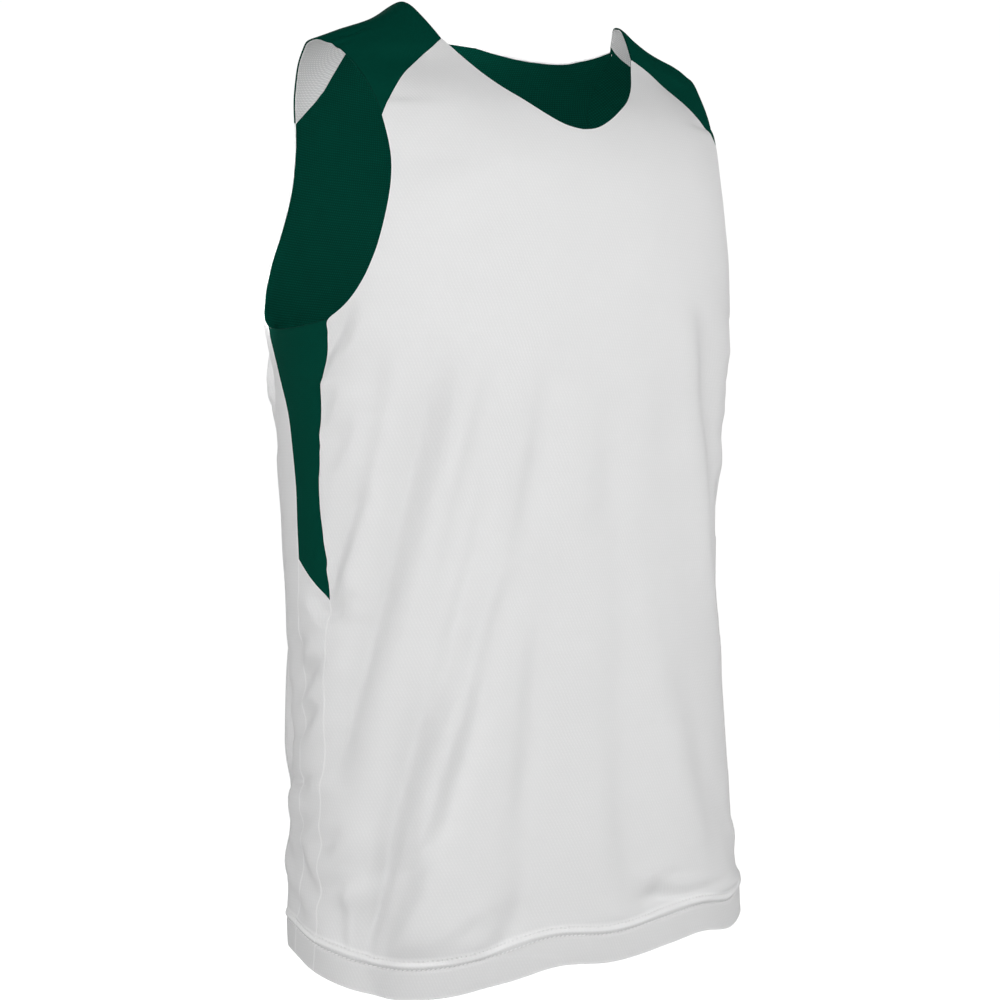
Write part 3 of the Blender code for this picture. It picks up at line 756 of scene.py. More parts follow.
@dataclass(frozen=True)
class Pattern:
    """Cuts the pieces. fineness scales the number of grid steps."""

    chart: Chart
    fineness: float = 1.0
    rows_seam: int = 17          # grid rows between two rows of SEAM_ROWS
    rows_hem: int = 34
    rows_chest: int = 66
    columns_neck: int = 32
    columns_yoke: int = 36
    columns_side: int = 20
    rows_yoke_front: int = 40
    rows_yoke_top: int = 14
    rows_yoke_back: int = 30
    columns_strap: int = 34

    def scaled(self, count: int) -> int:
        """A number of steps at this fineness."""
        return max(4, round(count * self.fineness))

    def seam_rows(self, first: int, last: int, close_last: bool) -> Array:
        """Positions along SEAM_ROWS, dense over the hem, otherwise even, and closer beside a sewn first row.

        Args:
            first: the first seam row.
            last: the last seam row.
            close_last: whether to mark the end more closely.

        Returns:
            Rising positions.
        """
        parts = []
        close_first = first > 0
        if first == 0:
            hem = np.linspace(0.0, SEAM_ROWS["front"][HEM_ROW], self.scaled(self.rows_hem) + 1)
            parts.append(np.interp(hem, SEAM_ROWS["front"], np.arange(TOP_ROW + 1)))
            first = HEM_ROW
        steps = self.scaled(self.rows_seam) * (last - first)
        parts.append(first + (last - first) * marks(steps, close_first, close_last))
        return np.unique(np.concatenate(parts).round(9))

    def body(self, name: str, lines: tuple[Table, Table, Table], turn: float, skew: float) -> Cut:
        """A front or back: columns from the hem to the neckline and yoke seams, rows level to the armholes.

        Args:
            name: the piece's name, which is its column in SEAM_ROWS too.
            lines: its neckline, yoke seam and side edge.
            turn: the angle of its own centre.
            skew: levels by which the neckline is lifted on the side of larger angles.

        Returns:
            The cut piece.
        """
        neckline, seam, edge = lines
        neck_marks = marks(self.scaled(self.columns_neck), False, True)
        neck_angle, neck_level = along_line(neckline, neck_marks)
        seam_angle, seam_level_at = along_line(seam, marks(self.scaled(self.columns_yoke), True, True))
        top_level = np.concatenate((neck_level, seam_level_at[1:]))
        lane = np.concatenate((neck_angle, seam_angle[1:])) / edge.at(top_level, "angle")
        lane[-1] = 1.0
        lane = np.concatenate((-lane[:0:-1], lane))
        top_level = np.concatenate((top_level[:0:-1], top_level))
        half, middle = len(neck_angle) - 1, len(lane) // 2
        neck = slice(middle - half, middle + half + 1)
        signed = np.concatenate((-neck_marks[:0:-1], neck_marks))
        top_level[neck] += skew * np.sin(math.pi * signed)
        rows = seam_level(self.seam_rows(0, TOP_ROW, False), name)
        shares = marks(self.scaled(self.rows_chest), False, True)[1:]
        upper = rows[-1] + np.outer(top_level - rows[-1], shares)
        level = np.concatenate((np.tile(rows, (len(lane), 1)), upper), axis=1)
        angle = lane[:, None] * edge.at(level, "angle") + turn
        seamed = np.concatenate((np.ones(len(rows)), np.zeros(len(shares))))
        top = np.ones(len(lane))
        top[neck] = 0.0
        sewn = (seamed, seamed, np.zeros(len(lane)), top)
        return Cut(name, angle, level, sewn, self.chart.flat(angle, level))

    def side(self, name: str, side: int, first: int, last: int) -> Cut:
        """A piece between the two side seams.

        Args:
            name: the piece's name.
            side: 1 on the wearer's left, -1 on the right.
            first: seam row at its foot.
            last: seam row at its top.

        Returns:
            The cut piece.
        """
        position = self.seam_rows(first, last, True)
        front_level, back_level = seam_level(position, "front"), seam_level(position, "back")
        across = marks(self.scaled(self.columns_side), True, True)
        level = front_level + np.outer(across, back_level - front_level)
        dip = np.clip(position - (TOP_ROW - 1), 0.0, 1.0) * (last == TOP_ROW)
        level -= ARMHOLE_DIP * np.outer(4 * across * (1 - across), dip)
        front_angle = FRONT_EDGE.at(front_level, "angle")
        back_angle = 180.0 - BACK_EDGE.at(back_level, "angle")
        angle = side * (front_angle + np.outer(across, back_angle - front_angle))
        seam, sides = np.ones(len(across)), np.ones(len(position))
        sewn = (sides, sides, seam * (first > 0), seam * (last < TOP_ROW))
        return Cut(name, angle, level, sewn, self.chart.flat(angle, level))

    def arm_edge(self, course: Array) -> Array:
        """Angle of the armhole edge of a yoke, in front and over the ridge behind."""
        behind = BACK_EDGE.at(2 * RIDGE_LEVEL - course, "angle")
        return np.where(course > RIDGE_LEVEL, behind, FRONT_EDGE.at(course, "angle"))

    def lane_of(self, angle: Array, course: Array) -> Array:
        """Share of the way from the neck edge of a yoke to its armhole edge."""
        neck = YOKE_NECK_EDGE.at(course, "angle")
        return (angle - neck) / (self.arm_edge(course) - neck)

    def yoke(self, name: str, side: int, part: str = "whole") -> Cut:
        """A yoke from neck edge to armhole edge, and from the front seam over the ridge to the back seam.

        The ridge lies at a half of the way, and the line of the pieced seam at two thirds.

        Args:
            name: the piece's name.
            side: 1 on the wearer's left, -1 on the right.
            part: "whole", or "front" and "behind" for the parts before and behind the pieced seam.

        Returns:
            The cut piece.
        """
        across = marks(self.scaled(self.columns_strap), True, True)
        front_angle, front_level = along_line(FRONT_YOKE_SEAM, across)
        back_angle, back_level = along_line(BACK_YOKE_SEAM, across)
        back_course = 2 * RIDGE_LEVEL - back_level
        front_lane = self.lane_of(front_angle, front_level)
        back_lane = self.lane_of(back_angle, back_course)
        pieced = PIECED_SEAM.at(front_lane + (back_lane - front_lane) * 2.0 / 3.0, "course")
        before = marks(self.scaled(self.rows_yoke_front), True, False)
        over = marks(self.scaled(self.rows_yoke_top), False, part == "front")[1:]
        behind = marks(self.scaled(self.rows_yoke_back), part == "behind", True)
        share = np.concatenate((before * 0.5, 0.5 + over / 6.0, (2.0 + behind[1:]) / 3.0))
        stops = (0.0, 0.5, 2.0 / 3.0, 1.0)
        lines = (front_level, np.full_like(pieced, RIDGE_LEVEL), pieced, back_course)
        course = np.stack([np.interp(share, stops, column) for column in zip(*lines)])
        lane = front_lane[:, None] + np.outer(back_lane - front_lane, share)
        neck = YOKE_NECK_EDGE.at(course, "angle")
        angle = side * (neck + lane * (self.arm_edge(course) - neck))
        cut_at = len(before) + len(over) - 1
        rows = {"whole": slice(None), "front": slice(0, cut_at + 1), "behind": slice(cut_at, None)}[part]
        angle, course = angle[:, rows], course[:, rows]
        points = self.chart.form.point(angle, course)
        flat = np.stack([run_along(points, 0), run_along(points, 1)], axis=-1)
        edges, seams = np.zeros(angle.shape[1]), np.ones(len(across))
        return Cut(name, angle, course, (edges, edges, seams, seams), flat)

    def cuts(self, pieced: bool) -> Iterator[Cut]:
        """All pieces of one layer.

        Args:
            pieced: whether the left yoke is pieced behind the shoulder.

        Yields:
            The cut pieces.
        """
        yield self.body("front", (FRONT_NECKLINE, FRONT_YOKE_SEAM, FRONT_EDGE), 0.0, 0.0)
        yield self.body("back", (BACK_NECKLINE, BACK_YOKE_SEAM, BACK_EDGE), 180.0, BACK_NECK_SKEW)
        if pieced:
            yield self.yoke("back_shoulder_left", 1, "behind")
        for word, side in (("right", -1), ("left", 1)):
            yield self.yoke(f"yoke_{word}", side, "front" if pieced and side > 0 else "whole")
            yield self.side(f"side_insert_{word}", side, SLANT_ROW, TOP_ROW)
            yield self.side(f"side_panel_{word}", side, 0, SLANT_ROW)


def build_mesh(name: str, points: Array, faces: Array, flat: Array,
               marked: dict[str, Array]) -> bpy.types.Mesh:
    """A smooth-shaded mesh from arrays.

    Args:
        name: name of the mesh.
        points: vertices.
        faces: quads.
        flat: flat coordinates of each vertex, in metres, kept as the UV map.
        marked: named values of each vertex.

    Returns:
        The mesh.
    """
    mesh = bpy.data.meshes.new(name)
    mesh.from_pydata(points.tolist(), [], faces.tolist())
    corners = np.empty(len(mesh.loops), dtype=np.int32)
    mesh.loops.foreach_get("vertex_index", corners)
    mesh.uv_layers.new(name="flat").data.foreach_set("uv", flat[corners].astype(np.float32).ravel())
    for mark, values in marked.items():
        layer = mesh.attributes.new(mark, "FLOAT", "POINT")
        layer.data.foreach_set("value", values.astype(np.float32).ravel())
    mesh.shade_smooth()
    mesh.set_sharp_from_angle(angle=SHARP_ANGLE)
    return mesh


def softened(values: Array) -> Array:
    """Values along a border with their jumps spread over a few points, by a running mean of five."""
    padded = np.pad(values.astype(float), 2, mode="edge")
    return np.convolve(padded, np.full(5, 0.2), mode="valid")


def quarter_ellipse(share: Array) -> Array:
    """1 at a border, falling to 0 at one reach from it along a quarter of an ellipse."""
    return 1.0 - np.sqrt(1.0 - (1.0 - np.clip(share, 0.0, 1.0)) ** 2)


def spread(values: Array, border: int) -> Array:
    """Values along a border, spread over the grid."""
    return values[None] if border < 2 else values[:, None]


def ring_of(columns: list[Array]) -> Array:
    """The four borders of a grid joined into one ring, from the borders in the order of a Cut."""
    first, last, foot, head = columns
    return np.concatenate((foot[:-1], last[:-1], head[:0:-1], first[:0:-1]))


@dataclass(frozen=True)
class Layer:
    """One layer of cloth: where its wall lies below the outside face, and how its borders are finished."""

    prefix: str
    shows: Skin
    depth: float
    thickness: float
    free_setback: float          # how far free edges stay back from the pattern's edge
    bead: float                  # radius of the roll at a turned edge
    has_hem_relief: bool
    seam_gap: float = 0.03 * MM
    seam_sink: float = 0.20 * MM
    seam_round: float = 0.9 * MM
    bead_reach: float = 1.6 * MM
    setback_reach: float = 6 * MM
    rim_width: float = 0.7 * MM  # how far the painted rim light and shade reaches
    rim_steps: int = 6
    thinnest: float = 0.3        # least share of the thickness that is left

    def wall(self, cut: Cut, cloth: Cloth, name: str) -> bpy.types.Mesh:
        """The closed wall of a piece.

        The skin that shows is the cloth's face, sunk along seams by a quarter ellipse. The other skin lies a
        cloth's thickness away, or two bead radii at a turned edge, where a half circle joins the two. The way
        out at a border is read over three steps of the grid.

        Args:
            cut: the piece.
            cloth: the face it lies on.
            name: name of the mesh.

        Returns:
            The mesh.
        """
        face, normal = cloth.surface(cut.angle, cut.course)
        across, along = run_along(face, 0), run_along(face, 1)
        reach = [across, across[-1] - across, along, along[:, -1:] - along]
        ways = (face[0] - face[3], face[-1] - face[-4], face[:, 0] - face[:, 3], face[:, -1] - face[:, -4])
        outward = [unit(way) for way in ways]
        sewn = [spread(softened(values), k) for k, values in enumerate(cut.sewn)]
        for k, way in enumerate(outward):
            back = self.seam_gap * sewn[k] + (self.free_setback + self.bead) * (1.0 - sewn[k])
            face = face - spread(way, k) * (back * np.exp(-reach[k] / self.setback_reach))[..., None]
        sink = sum(s * quarter_ellipse(r / self.seam_round) for s, r in zip(sewn, reach)) * self.seam_sink
        turned = sum((1 - s) * np.exp(-(r / self.bead_reach) ** 2) for s, r in zip(sewn, reach))
        extra = np.minimum(turned, 1.0) * max(0.0, 2 * self.bead - self.thickness)
        least = self.thinnest * self.thickness
        if self.shows is Skin.OUTSIDE:
            lift = cloth.hem.rise(cut.course) if self.has_hem_relief and cut.hemmed else 0.0
            outer = lift - self.depth - sink
            inner = -self.depth - np.maximum(self.thickness + extra, sink + least)
        else:
            inner = -self.depth - self.thickness - extra * 0.5 + sink
            outer = np.maximum(-self.depth - extra * 0.5, inner + least)
        skins = [face + normal * height[..., None] for height in (outer, inner)]
        # nearness to a border, which masks the painted rim light and shade
        nearness = np.exp(-(np.minimum.reduce(reach) / self.rim_width) ** 2)
        return self.joined(cut, skins, outward, nearness, name)

    def joined(self, cut: Cut, skins: list[Array], outward: list[Array], nearness: Array,
               name: str) -> bpy.types.Mesh:
        """Join two skins by a rim: half ellipses round the border, which bulge where the edge is turned.

        Args:
            cut: the piece.
            skins: grids of the outer and the inner skin.
            outward: ways out at the four borders.
            nearness: 1 at a border, fading inwards.
            name: name of the mesh.

        Returns:
            The mesh.
        """
        count = cut.angle.size
        index = np.arange(count).reshape(cut.angle.shape)
        corners = (index[:-1, :-1], index[1:, :-1], index[1:, 1:], index[:-1, 1:])
        skin = np.stack(corners, axis=-1).reshape(-1, 4)
        ring = ring_of([index[0], index[-1], index[:, 0], index[:, -1]])
        outer, inner = (points.reshape(-1, 3) for points in skins)
        centre, half = (outer[ring] + inner[ring]) / 2, (outer[ring] - inner[ring]) / 2
        radius = np.linalg.norm(half, axis=-1) * (1.0 - softened(ring_of(cut.sewn)))
        turn = np.pi * np.arange(1, self.rim_steps) / self.rim_steps
        bulge = np.sin(turn)[:, None, None] * (ring_of(outward) * radius[:, None])
        rolls = centre + np.cos(turn)[:, None, None] * half + bulge
        rolled = 2 * count + np.arange(len(turn) * len(ring)).reshape(len(turn), -1)
        rings = [ring, *rolled, ring + count]
        rims = [np.stack([np.roll(a, -1), a, b, np.roll(b, -1)], axis=-1) for a, b in zip(rings, rings[1:])]
        faces = np.concatenate((skin, skin[:, ::-1] + count, *rims))
        if cut.angle[1, 0] < cut.angle[0, 0]:
            faces = faces[:, ::-1]
        points = np.concatenate((outer, inner, rolls.reshape(-1, 3)))
        flat = cut.flat.reshape(-1, 2)
        flat = np.concatenate((flat, flat, np.tile(flat[ring], (len(turn), 1))))
        near = np.concatenate((nearness.ravel(), nearness.ravel(), np.ones(rolled.size)))
        climb = cut.course.ravel() * HEM_PER_LEVEL
        climb = np.concatenate((climb, climb, np.tile(climb[ring], len(turn))))
        return build_mesh(name, points, faces, flat, {"border": near, "hem_climb": climb})


# Thickness of a stitch, in radii, at shares of its half length.
STITCH_PROFILE = Table(
    "along size",
    (-1, 0.25), (-0.84, 0.72), (-0.4, 1), (0.4, 1), (0.84, 0.72), (1, 0.25),
)


@dataclass(frozen=True)
class HemStitching:
    """Thread that shows on the lower sewn line of the hem: short slanted stitches joined end to end."""

    cloth: Cloth
    length: float = 2.9 * MM
    radius: float = 0.38 * MM
    above: float = 0.6 * MM      # how far over the sewn line the thread shows
    proud: float = 0.7           # height of its middle over the cloth, in radii
    slant: float = math.radians(14)
    sides: int = 6
    fine_steps: int = 600
    ahead: float = 0.05          # degrees over which the way along the hem is read

    def stitches(self, first: float, last: float) -> tuple[Array, Array, Array]:
        """Places of the stitches between two angles.

        Args:
            first: the angle where they start.
            last: the angle where they end.

        Returns:
            Their middles, unit vectors along them, and unit normals.
        """
        level = (LOWER_LINE + self.above) / HEM_PER_LEVEL
        fine = np.linspace(first, last, self.fine_steps)
        line, _ = self.cloth.surface(fine, np.full_like(fine, level))
        length = run_along(line, 0)
        count = int(length[-1] / STITCH_PITCH)
        angle = np.interp((np.arange(count) + 0.5) * length[-1] / count, length, fine)
        levels = np.full_like(angle, level)
        middle, normal = self.cloth.surface(angle, levels)
        further, _ = self.cloth.surface(angle + self.ahead, levels)
        way = unit(further - middle)
        up = unit(np.cross(normal, way))
        way = way * math.cos(self.slant) + up * math.sin(self.slant)
        rise = self.cloth.hem.rise(levels)[:, None] + self.proud * self.radius
        return middle + normal * rise, way, normal

    def mesh(self, name: str, first: float, last: float) -> bpy.types.Mesh:
        """All stitches between two angles: each a thread of round section, thinner towards both ends.

        Args:
            name: name of the mesh.
            first: the angle where they start.
            last: the angle where they end.

        Returns:
            The mesh.
        """
        middle, way, normal = (rows[:, None, None] for rows in self.stitches(first, last))
        at, size = STITCH_PROFILE["along"] * self.length / 2, STITCH_PROFILE["size"] * self.radius
        turn = 2 * np.pi * np.arange(self.sides) / self.sides
        ring = np.cos(turn)[:, None] * normal + np.sin(turn)[:, None] * np.cross(way, normal)
        points = middle + way * at[:, None, None] + ring * size[:, None, None]
        bands, sides = len(at), self.sides
        index = np.arange(bands * sides).reshape(bands, sides)
        after = np.roll(index, -1, axis=1)
        wall = np.stack([index[:-1], after[:-1], after[1:], index[1:]], axis=-1).reshape(-1, 4)
        caps = [[index[0, (-k) % sides] for k in range(sides)], list(index[-1])]
        cap_quads = np.array([[c[0], c[j], c[j + 1], c[j + 2]] for c in caps for j in range(1, sides - 2, 2)])
        one = np.concatenate((wall, cap_quads))
        faces = (one[None] + (np.arange(len(points)) * bands * sides)[:, None, None]).reshape(-1, 4)
        points = points.reshape(-1, 3)
        return build_mesh(name, points, faces, points[:, [0, 2]], {"border": np.zeros(len(points))})


Socket = bpy.types.NodeSocket
Value = float | tuple[float, ...] | Socket


def opaque(colour: Colour, share: float = 1.0) -> tuple[float, ...]:
    """A colour, darkened to a share, with full alpha."""
    return (*(share * c for c in colour), 1.0)


@dataclass(frozen=True)
class Graph:
    """Places and joins nodes in one node tree. Spaces in the names of inputs are written as underscores."""

    tree: bpy.types.NodeTree

    def feed(self, socket: Socket, value: Value) -> None:
        """Link a socket to an input, or set the input's own value."""
        if isinstance(value, Socket):
            self.tree.links.new(value, socket)
        else:
            socket.default_value = value

    def put(self, node: bpy.types.Node, **inputs: Value) -> bpy.types.Node:
        """Set or link a node's named inputs."""
        for name, value in inputs.items():
            self.feed(node.inputs[name.replace("_", " ")], value)
        return node

    def node(self, kind: str, **inputs: Value) -> bpy.types.Node:
        """A node of a kind."""
        return self.put(self.tree.nodes.new(kind), **inputs)

    def group(self, tree: bpy.types.NodeTree, **inputs: Value) -> bpy.types.NodeOutputs:
        """A node that holds a shared group.

        Args:
            tree: the group.
            inputs: values or sockets for its inputs.

        Returns:
            The node's outputs.
        """
        made = self.tree.nodes.new("ShaderNodeGroup")
        made.node_tree = tree
        return self.put(made, **inputs).outputs

    def attribute(self, name: str) -> Socket:
        """A named value of the mesh."""
        made = self.tree.nodes.new("ShaderNodeAttribute")
        made.attribute_name = name
        return made.outputs["Fac"]

    def math(self, operation: str, *values: Value, clamp: bool = False) -> Socket:
        """A Math node.

        Args:
            operation: what it works out.
            values: its values or sockets.
            clamp: whether the result is kept between 0 and 1.

        Returns:
            The socket of its result.
        """
        made = self.tree.nodes.new("ShaderNodeMath")
        made.operation = operation
        made.use_clamp = clamp
        for socket, value in zip(made.inputs, values):
            self.feed(socket, value)
        return made.outputs[0]

    def mix(self, factor: Value, low: Value, high: Value) -> Socket:
        """Colour between two colours.

        Args:
            factor: 0 for the low one, 1 for the high one.
            low: a colour.
            high: another colour.

        Returns:
            The socket of the colour.
        """
        made = self.tree.nodes.new("ShaderNodeMix")
        made.data_type = "RGBA"
        for index, value in ((0, factor), (6, low), (7, high)):
            self.feed(made.inputs[index], value)
        return made.outputs[2]

    def ramp(self, value: Value, start: float, end: float, low: float = 0.0, high: float = 1.0) -> Socket:
        """A smooth step.

        Args:
            value: the value that it follows.
            start: where it leaves low.
            end: where it reaches high, which may lie below start.
            low: result at the start.
            high: result at the end.

        Returns:
            The socket of the result.
        """
        ends = {"From_Min": start, "From_Max": end, "To_Min": low, "To_Max": high}
        made = self.node("ShaderNodeMapRange", Value=value, **ends)
        made.interpolation_type = "SMOOTHSTEP"
        return made.outputs["Result"]

    def oval(self, across: Value, up: Value, start: float, end: float) -> Socket:
        """1 in an oval and 0 outside: the squares of both parts are added and run from start to end."""
        squares = (self.math("POWER", part, 2.0) for part in (across, up))
        return self.ramp(self.math("ADD", *squares), start, end)

    def room_share(self, lit: float, seen: float) -> Socket:
        """Strength of the studio's white, as a light and where the camera sees it."""
        ray = self.node("ShaderNodeLightPath").outputs["Is Camera Ray"]
        return self.ramp(ray, 0.0, 1.0, lit, seen)


@dataclass(frozen=True)
class GroupGraph(Graph):
    """The inside of a node group."""

    source: bpy.types.Node
    sink: bpy.types.Node

    def given(self, label: str) -> Socket:
        """Socket of an input of the group."""
        return self.source.outputs[label]

    def give(self, label: str, value: Value) -> None:
        """Feed an output of the group."""
        self.feed(self.sink.inputs[label], value)


def new_group(name: str, inputs: dict[str, str], outputs: str) -> GroupGraph:
    """An empty node group.

    Args:
        name: name of the group.
        inputs: names of its inputs by socket kind, Vector or Float.
        outputs: names of its outputs, all of kind Float.

    Returns:
        Its inside.
    """
    tree = bpy.data.node_groups.new(name, "ShaderNodeTree")
    for kinds, way in ((inputs, "INPUT"), ({"Float": outputs}, "OUTPUT")):
        for kind, labels in kinds.items():
            for label in labels.split(", "):
                tree.interface.new_socket(name=label, in_out=way, socket_type=f"NodeSocket{kind}")
    return GroupGraph(tree, tree.nodes.new("NodeGroupInput"), tree.nodes.new("NodeGroupOutput"))


def make_knit_group() -> bpy.types.NodeTree:
    """Knit cells: ovals in rows on the flat coordinates, each row shifted against the last, and row lines.

    Cell coordinates are girth over pitch, plus the row number times the stagger, plus the lean times the
    place in the row, and all are stirred a little by noise. Stitch is 1 inside the oval and fades at its
    rim. Line is 1 between the rows.
    """
    stir_scale, stir_aside, stir_up = 55.0, 0.9, 0.6
    sizes = "Pitch Across, Pitch Up, Stagger, Lean, Half Width, Half Height"
    graph = new_group("knit_cells", {"Vector": "Flat", "Float": sizes}, "Stitch, Line")
    given = graph.given
    split = graph.node("ShaderNodeSeparateXYZ", Vector=given("Flat"))
    wobble = graph.node("ShaderNodeTexNoise", Vector=given("Flat"), Scale=stir_scale, Detail=1.0)
    stir = graph.math("MULTIPLY_ADD", wobble.outputs["Fac"], stir_aside, -0.5 * stir_aside)
    up = graph.math("DIVIDE", split.outputs["Y"], given("Pitch Up"))
    up = graph.math("ADD", up, graph.math("MULTIPLY", stir, stir_up))
    row = graph.math("FLOOR", up)
    in_row = graph.math("SUBTRACT", graph.math("SUBTRACT", up, row), 0.5)
    aside = graph.math("DIVIDE", split.outputs["X"], given("Pitch Across"))
    aside = graph.math("ADD", aside, stir)
    aside = graph.math("MULTIPLY_ADD", row, given("Stagger"), aside)
    aside = graph.math("MULTIPLY_ADD", in_row, given("Lean"), aside)
    in_cell = graph.math("SUBTRACT", graph.math("FRACT", aside), 0.5)
    wide = graph.math("DIVIDE", in_cell, given("Half Width"))
    tall = graph.math("DIVIDE", in_row, given("Half Height"))
    graph.give("Stitch", graph.oval(wide, tall, 1.5, 0.3))
    graph.give("Line", graph.ramp(graph.math("ABSOLUTE", in_row), 0.34, 0.5))
    return graph.tree


def make_tone_group() -> bpy.types.NodeTree:
    """Unevenness of dyed cloth: broad cloudy tone, and fine fuzz of single fibres, both from 0 to 1."""
    graph = new_group("cloth_tone", {"Vector": "Place", "Float": "Scale"}, "Cloud, Fuzz")
    place, scale = graph.given("Place"), graph.given("Scale")
    cloud = graph.node("ShaderNodeTexNoise", Vector=place, Scale=scale, Detail=3.0, Roughness=0.55)
    fine = graph.math("MULTIPLY", scale, 60.0)
    fuzz = graph.node("ShaderNodeTexNoise", Vector=place, Scale=fine, Detail=2.0)
    graph.give("Cloud", graph.ramp(cloud.outputs["Fac"], 0.25, 0.75))
    graph.give("Fuzz", fuzz.outputs["Fac"])
    return graph.tree


# Tints along the hem: name, share of the tint, its grey, and the climbs between which it comes and goes. The
# first darkens the band below the lower line, the second is painted shade on the welt's lower flank just
# above that line, and the third is a painted highlight on the welt's upper half.
HEM_TINTS = (
    ("Band", 0.06, 0.0, (0.0202, 0.0192)),
    ("Fold", 0.14, 0.0, (0.0199, 0.0206), (0.0236, 0.0218)),
    ("Welt", 0.60, 0.93, (0.0228, 0.0242), (0.0300, 0.0270)),
)


def make_hem_group() -> bpy.types.NodeTree:
    """Marks of the hem by climb above its edge: the tints, which are a darker band, painted shade under the
    welt and a painted highlight on it, and the pricks.

    Pricks are ovals one pitch apart along the upper sewn line, 0.24 of a pitch and 0.6 mm to each side.
    """
    inputs = {"Vector": "Flat", "Float": "Climb, Line At, Pitch"}
    graph = new_group("hem_marks", inputs, "Prick, Band, Fold, Welt")
    given = graph.given
    split = graph.node("ShaderNodeSeparateXYZ", Vector=given("Flat"))
    aside = graph.math("FRACT", graph.math("DIVIDE", split.outputs["X"], given("Pitch")))
    wide = graph.math("DIVIDE", graph.math("SUBTRACT", aside, 0.5), 0.24)
    off = graph.math("SUBTRACT", given("Climb"), given("Line At"))
    graph.give("Prick", graph.oval(wide, graph.math("DIVIDE", off, 0.6 * MM), 1.5, 0.4))
    for name, _, _, comes, *goes in HEM_TINTS:
        share = graph.ramp(given("Climb"), *comes)
        for ends in goes:
            share = graph.math("MULTIPLY", share, graph.ramp(given("Climb"), *ends))
        graph.give(name, share)
    return graph.tree


def new_material(name: str, colour: Colour) -> tuple[bpy.types.Material, Graph, bpy.types.Node]:
    """A node material.

    Args:
        name: its name.
        colour: its colour in plain views.

    Returns:
        The material, its graph and its shader.
    """
    made = bpy.data.materials.new(name)
    made.use_nodes = True
    made.diffuse_color = opaque(colour)
    return made, Graph(made.node_tree), made.node_tree.nodes["Principled BSDF"]


@dataclass(frozen=True)
class KnitFinish:
    """A knit cloth. Lengths in metres, colours linear."""

    slot: Slot
    colour: Colour
    hollow: Colour               # colour between the stitches
    edge: Colour                 # painted rim colour at edges and seams: painted highlight on the white knit, painted shade on the green knit and the meshes
    pitch_across: float
    pitch_up: float
    stagger: float
    lean: float
    half_width: float
    half_height: float
    stitch_depth: float = 0.00012
    line_depth: float = 0.0
    line_shade: float = 0.8
    fuzz_depth: float = 0.00004
    painted_rim_share: float = 0.5
    cloud_share: float = 0.04
    cloud_shade: float = 0.55
    cloud_scale: float = 22.0
    roughness: float = 0.62
    smoother: float = 0.05       # how far the fuzz lowers and raises the roughness
    rougher: float = 0.06
    specular: float = 0.2
    sheen: float = 0.12
    sheen_roughness: float = 0.45
    sheen_tint: Colour = (1.0, 1.0, 1.0)
    hem_marks: bool = False
    prick_share: float = 0.18
    prick_shade: float = 0.4
    prick_depth: float = 0.4 * MM

    def material(self, groups: dict[str, bpy.types.NodeTree]) -> bpy.types.Material:
        """The node material: knit colour from the cells, then cloudy tone, then painted rim light and shade
        at edges and seams.

        Args:
            groups: the shared node groups by name.

        Returns:
            The material.
        """
        made, graph, shader = new_material(self.slot.value + "_cloth", self.colour)
        flat_map = graph.node("ShaderNodeUVMap")
        flat_map.uv_map = "flat"
        flat = flat_map.outputs["UV"]
        place = graph.node("ShaderNodeTexCoord").outputs["Object"]
        knit = graph.group(groups["knit"], Flat=flat, Pitch_Across=self.pitch_across, Pitch_Up=self.pitch_up,
                           Stagger=self.stagger, Lean=self.lean, Half_Width=self.half_width,
                           Half_Height=self.half_height)
        tone = graph.group(groups["tone"], Place=place, Scale=self.cloud_scale)
        line = graph.math("MULTIPLY", knit["Line"], self.line_shade)
        raised = graph.math("SUBTRACT", knit["Stitch"], line, clamp=True)
        colour = graph.mix(raised, opaque(self.hollow), opaque(self.colour))
        cloudy = graph.math("MULTIPLY", tone["Cloud"], self.cloud_share)
        colour = graph.mix(cloudy, colour, opaque(self.colour, self.cloud_shade))
        # painted rim light and shade: the edge colour, lighter on the white knit and darker on the others, by
        # nearness to a border
        rolled = graph.math("MULTIPLY", graph.attribute("border"), self.painted_rim_share, clamp=True)
        colour = graph.mix(rolled, colour, opaque(self.edge))
        height = graph.math("MULTIPLY", knit["Stitch"], self.stitch_depth)
        height = graph.math("MULTIPLY_ADD", knit["Line"], -self.line_depth, height)
        height = graph.math("MULTIPLY_ADD", tone["Fuzz"], self.fuzz_depth, height)
        if self.hem_marks:
            colour, height = self.hemmed(graph, groups["hem"], flat, colour, height)
        low, high = self.roughness - self.smoother, self.roughness + self.rougher
        rough = graph.ramp(tone["Fuzz"], 0.3, 0.7, low, high)
        bump = graph.node("ShaderNodeBump", Height=height, Strength=1.0, Distance=1.0).outputs["Normal"]
        graph.put(shader, Base_Color=colour, Roughness=rough, Normal=bump, Metallic=0.0,
                  Specular_IOR_Level=self.specular, Sheen_Weight=self.sheen,
                  Sheen_Roughness=self.sheen_roughness, Sheen_Tint=opaque(self.sheen_tint))
        return made

    def hemmed(self, graph: Graph, tree: bpy.types.NodeTree, flat: Socket, colour: Value,
               height: Value) -> tuple[Value, Value]:
        """Colour and height with the marks of the hem, among them painted shade under the welt and a painted
        highlight on it.

        Args:
            graph: the material's graph.
            tree: the group of the marks.
            flat: the flat coordinates.
            colour: the cloth's colour so far.
            height: its height so far.

        Returns:
            Colour and height.
        """
        climb = graph.attribute("hem_climb")
        marked = graph.group(tree, Flat=flat, Climb=climb, Line_At=UPPER_LINE, Pitch=STITCH_PITCH)
        amount = graph.math("MULTIPLY", marked["Prick"], self.prick_share)
        colour = graph.mix(amount, colour, opaque(self.colour, self.prick_shade))
        # the darker band, painted shade under the welt and a painted highlight on the welt
        for name, share, grey, *_ in HEM_TINTS:
            amount = graph.math("MULTIPLY", marked[name], share)
            colour = graph.mix(amount, colour, opaque((grey, grey, grey)))
        return colour, graph.math("MULTIPLY_ADD", marked["Prick"], -self.prick_depth, height)


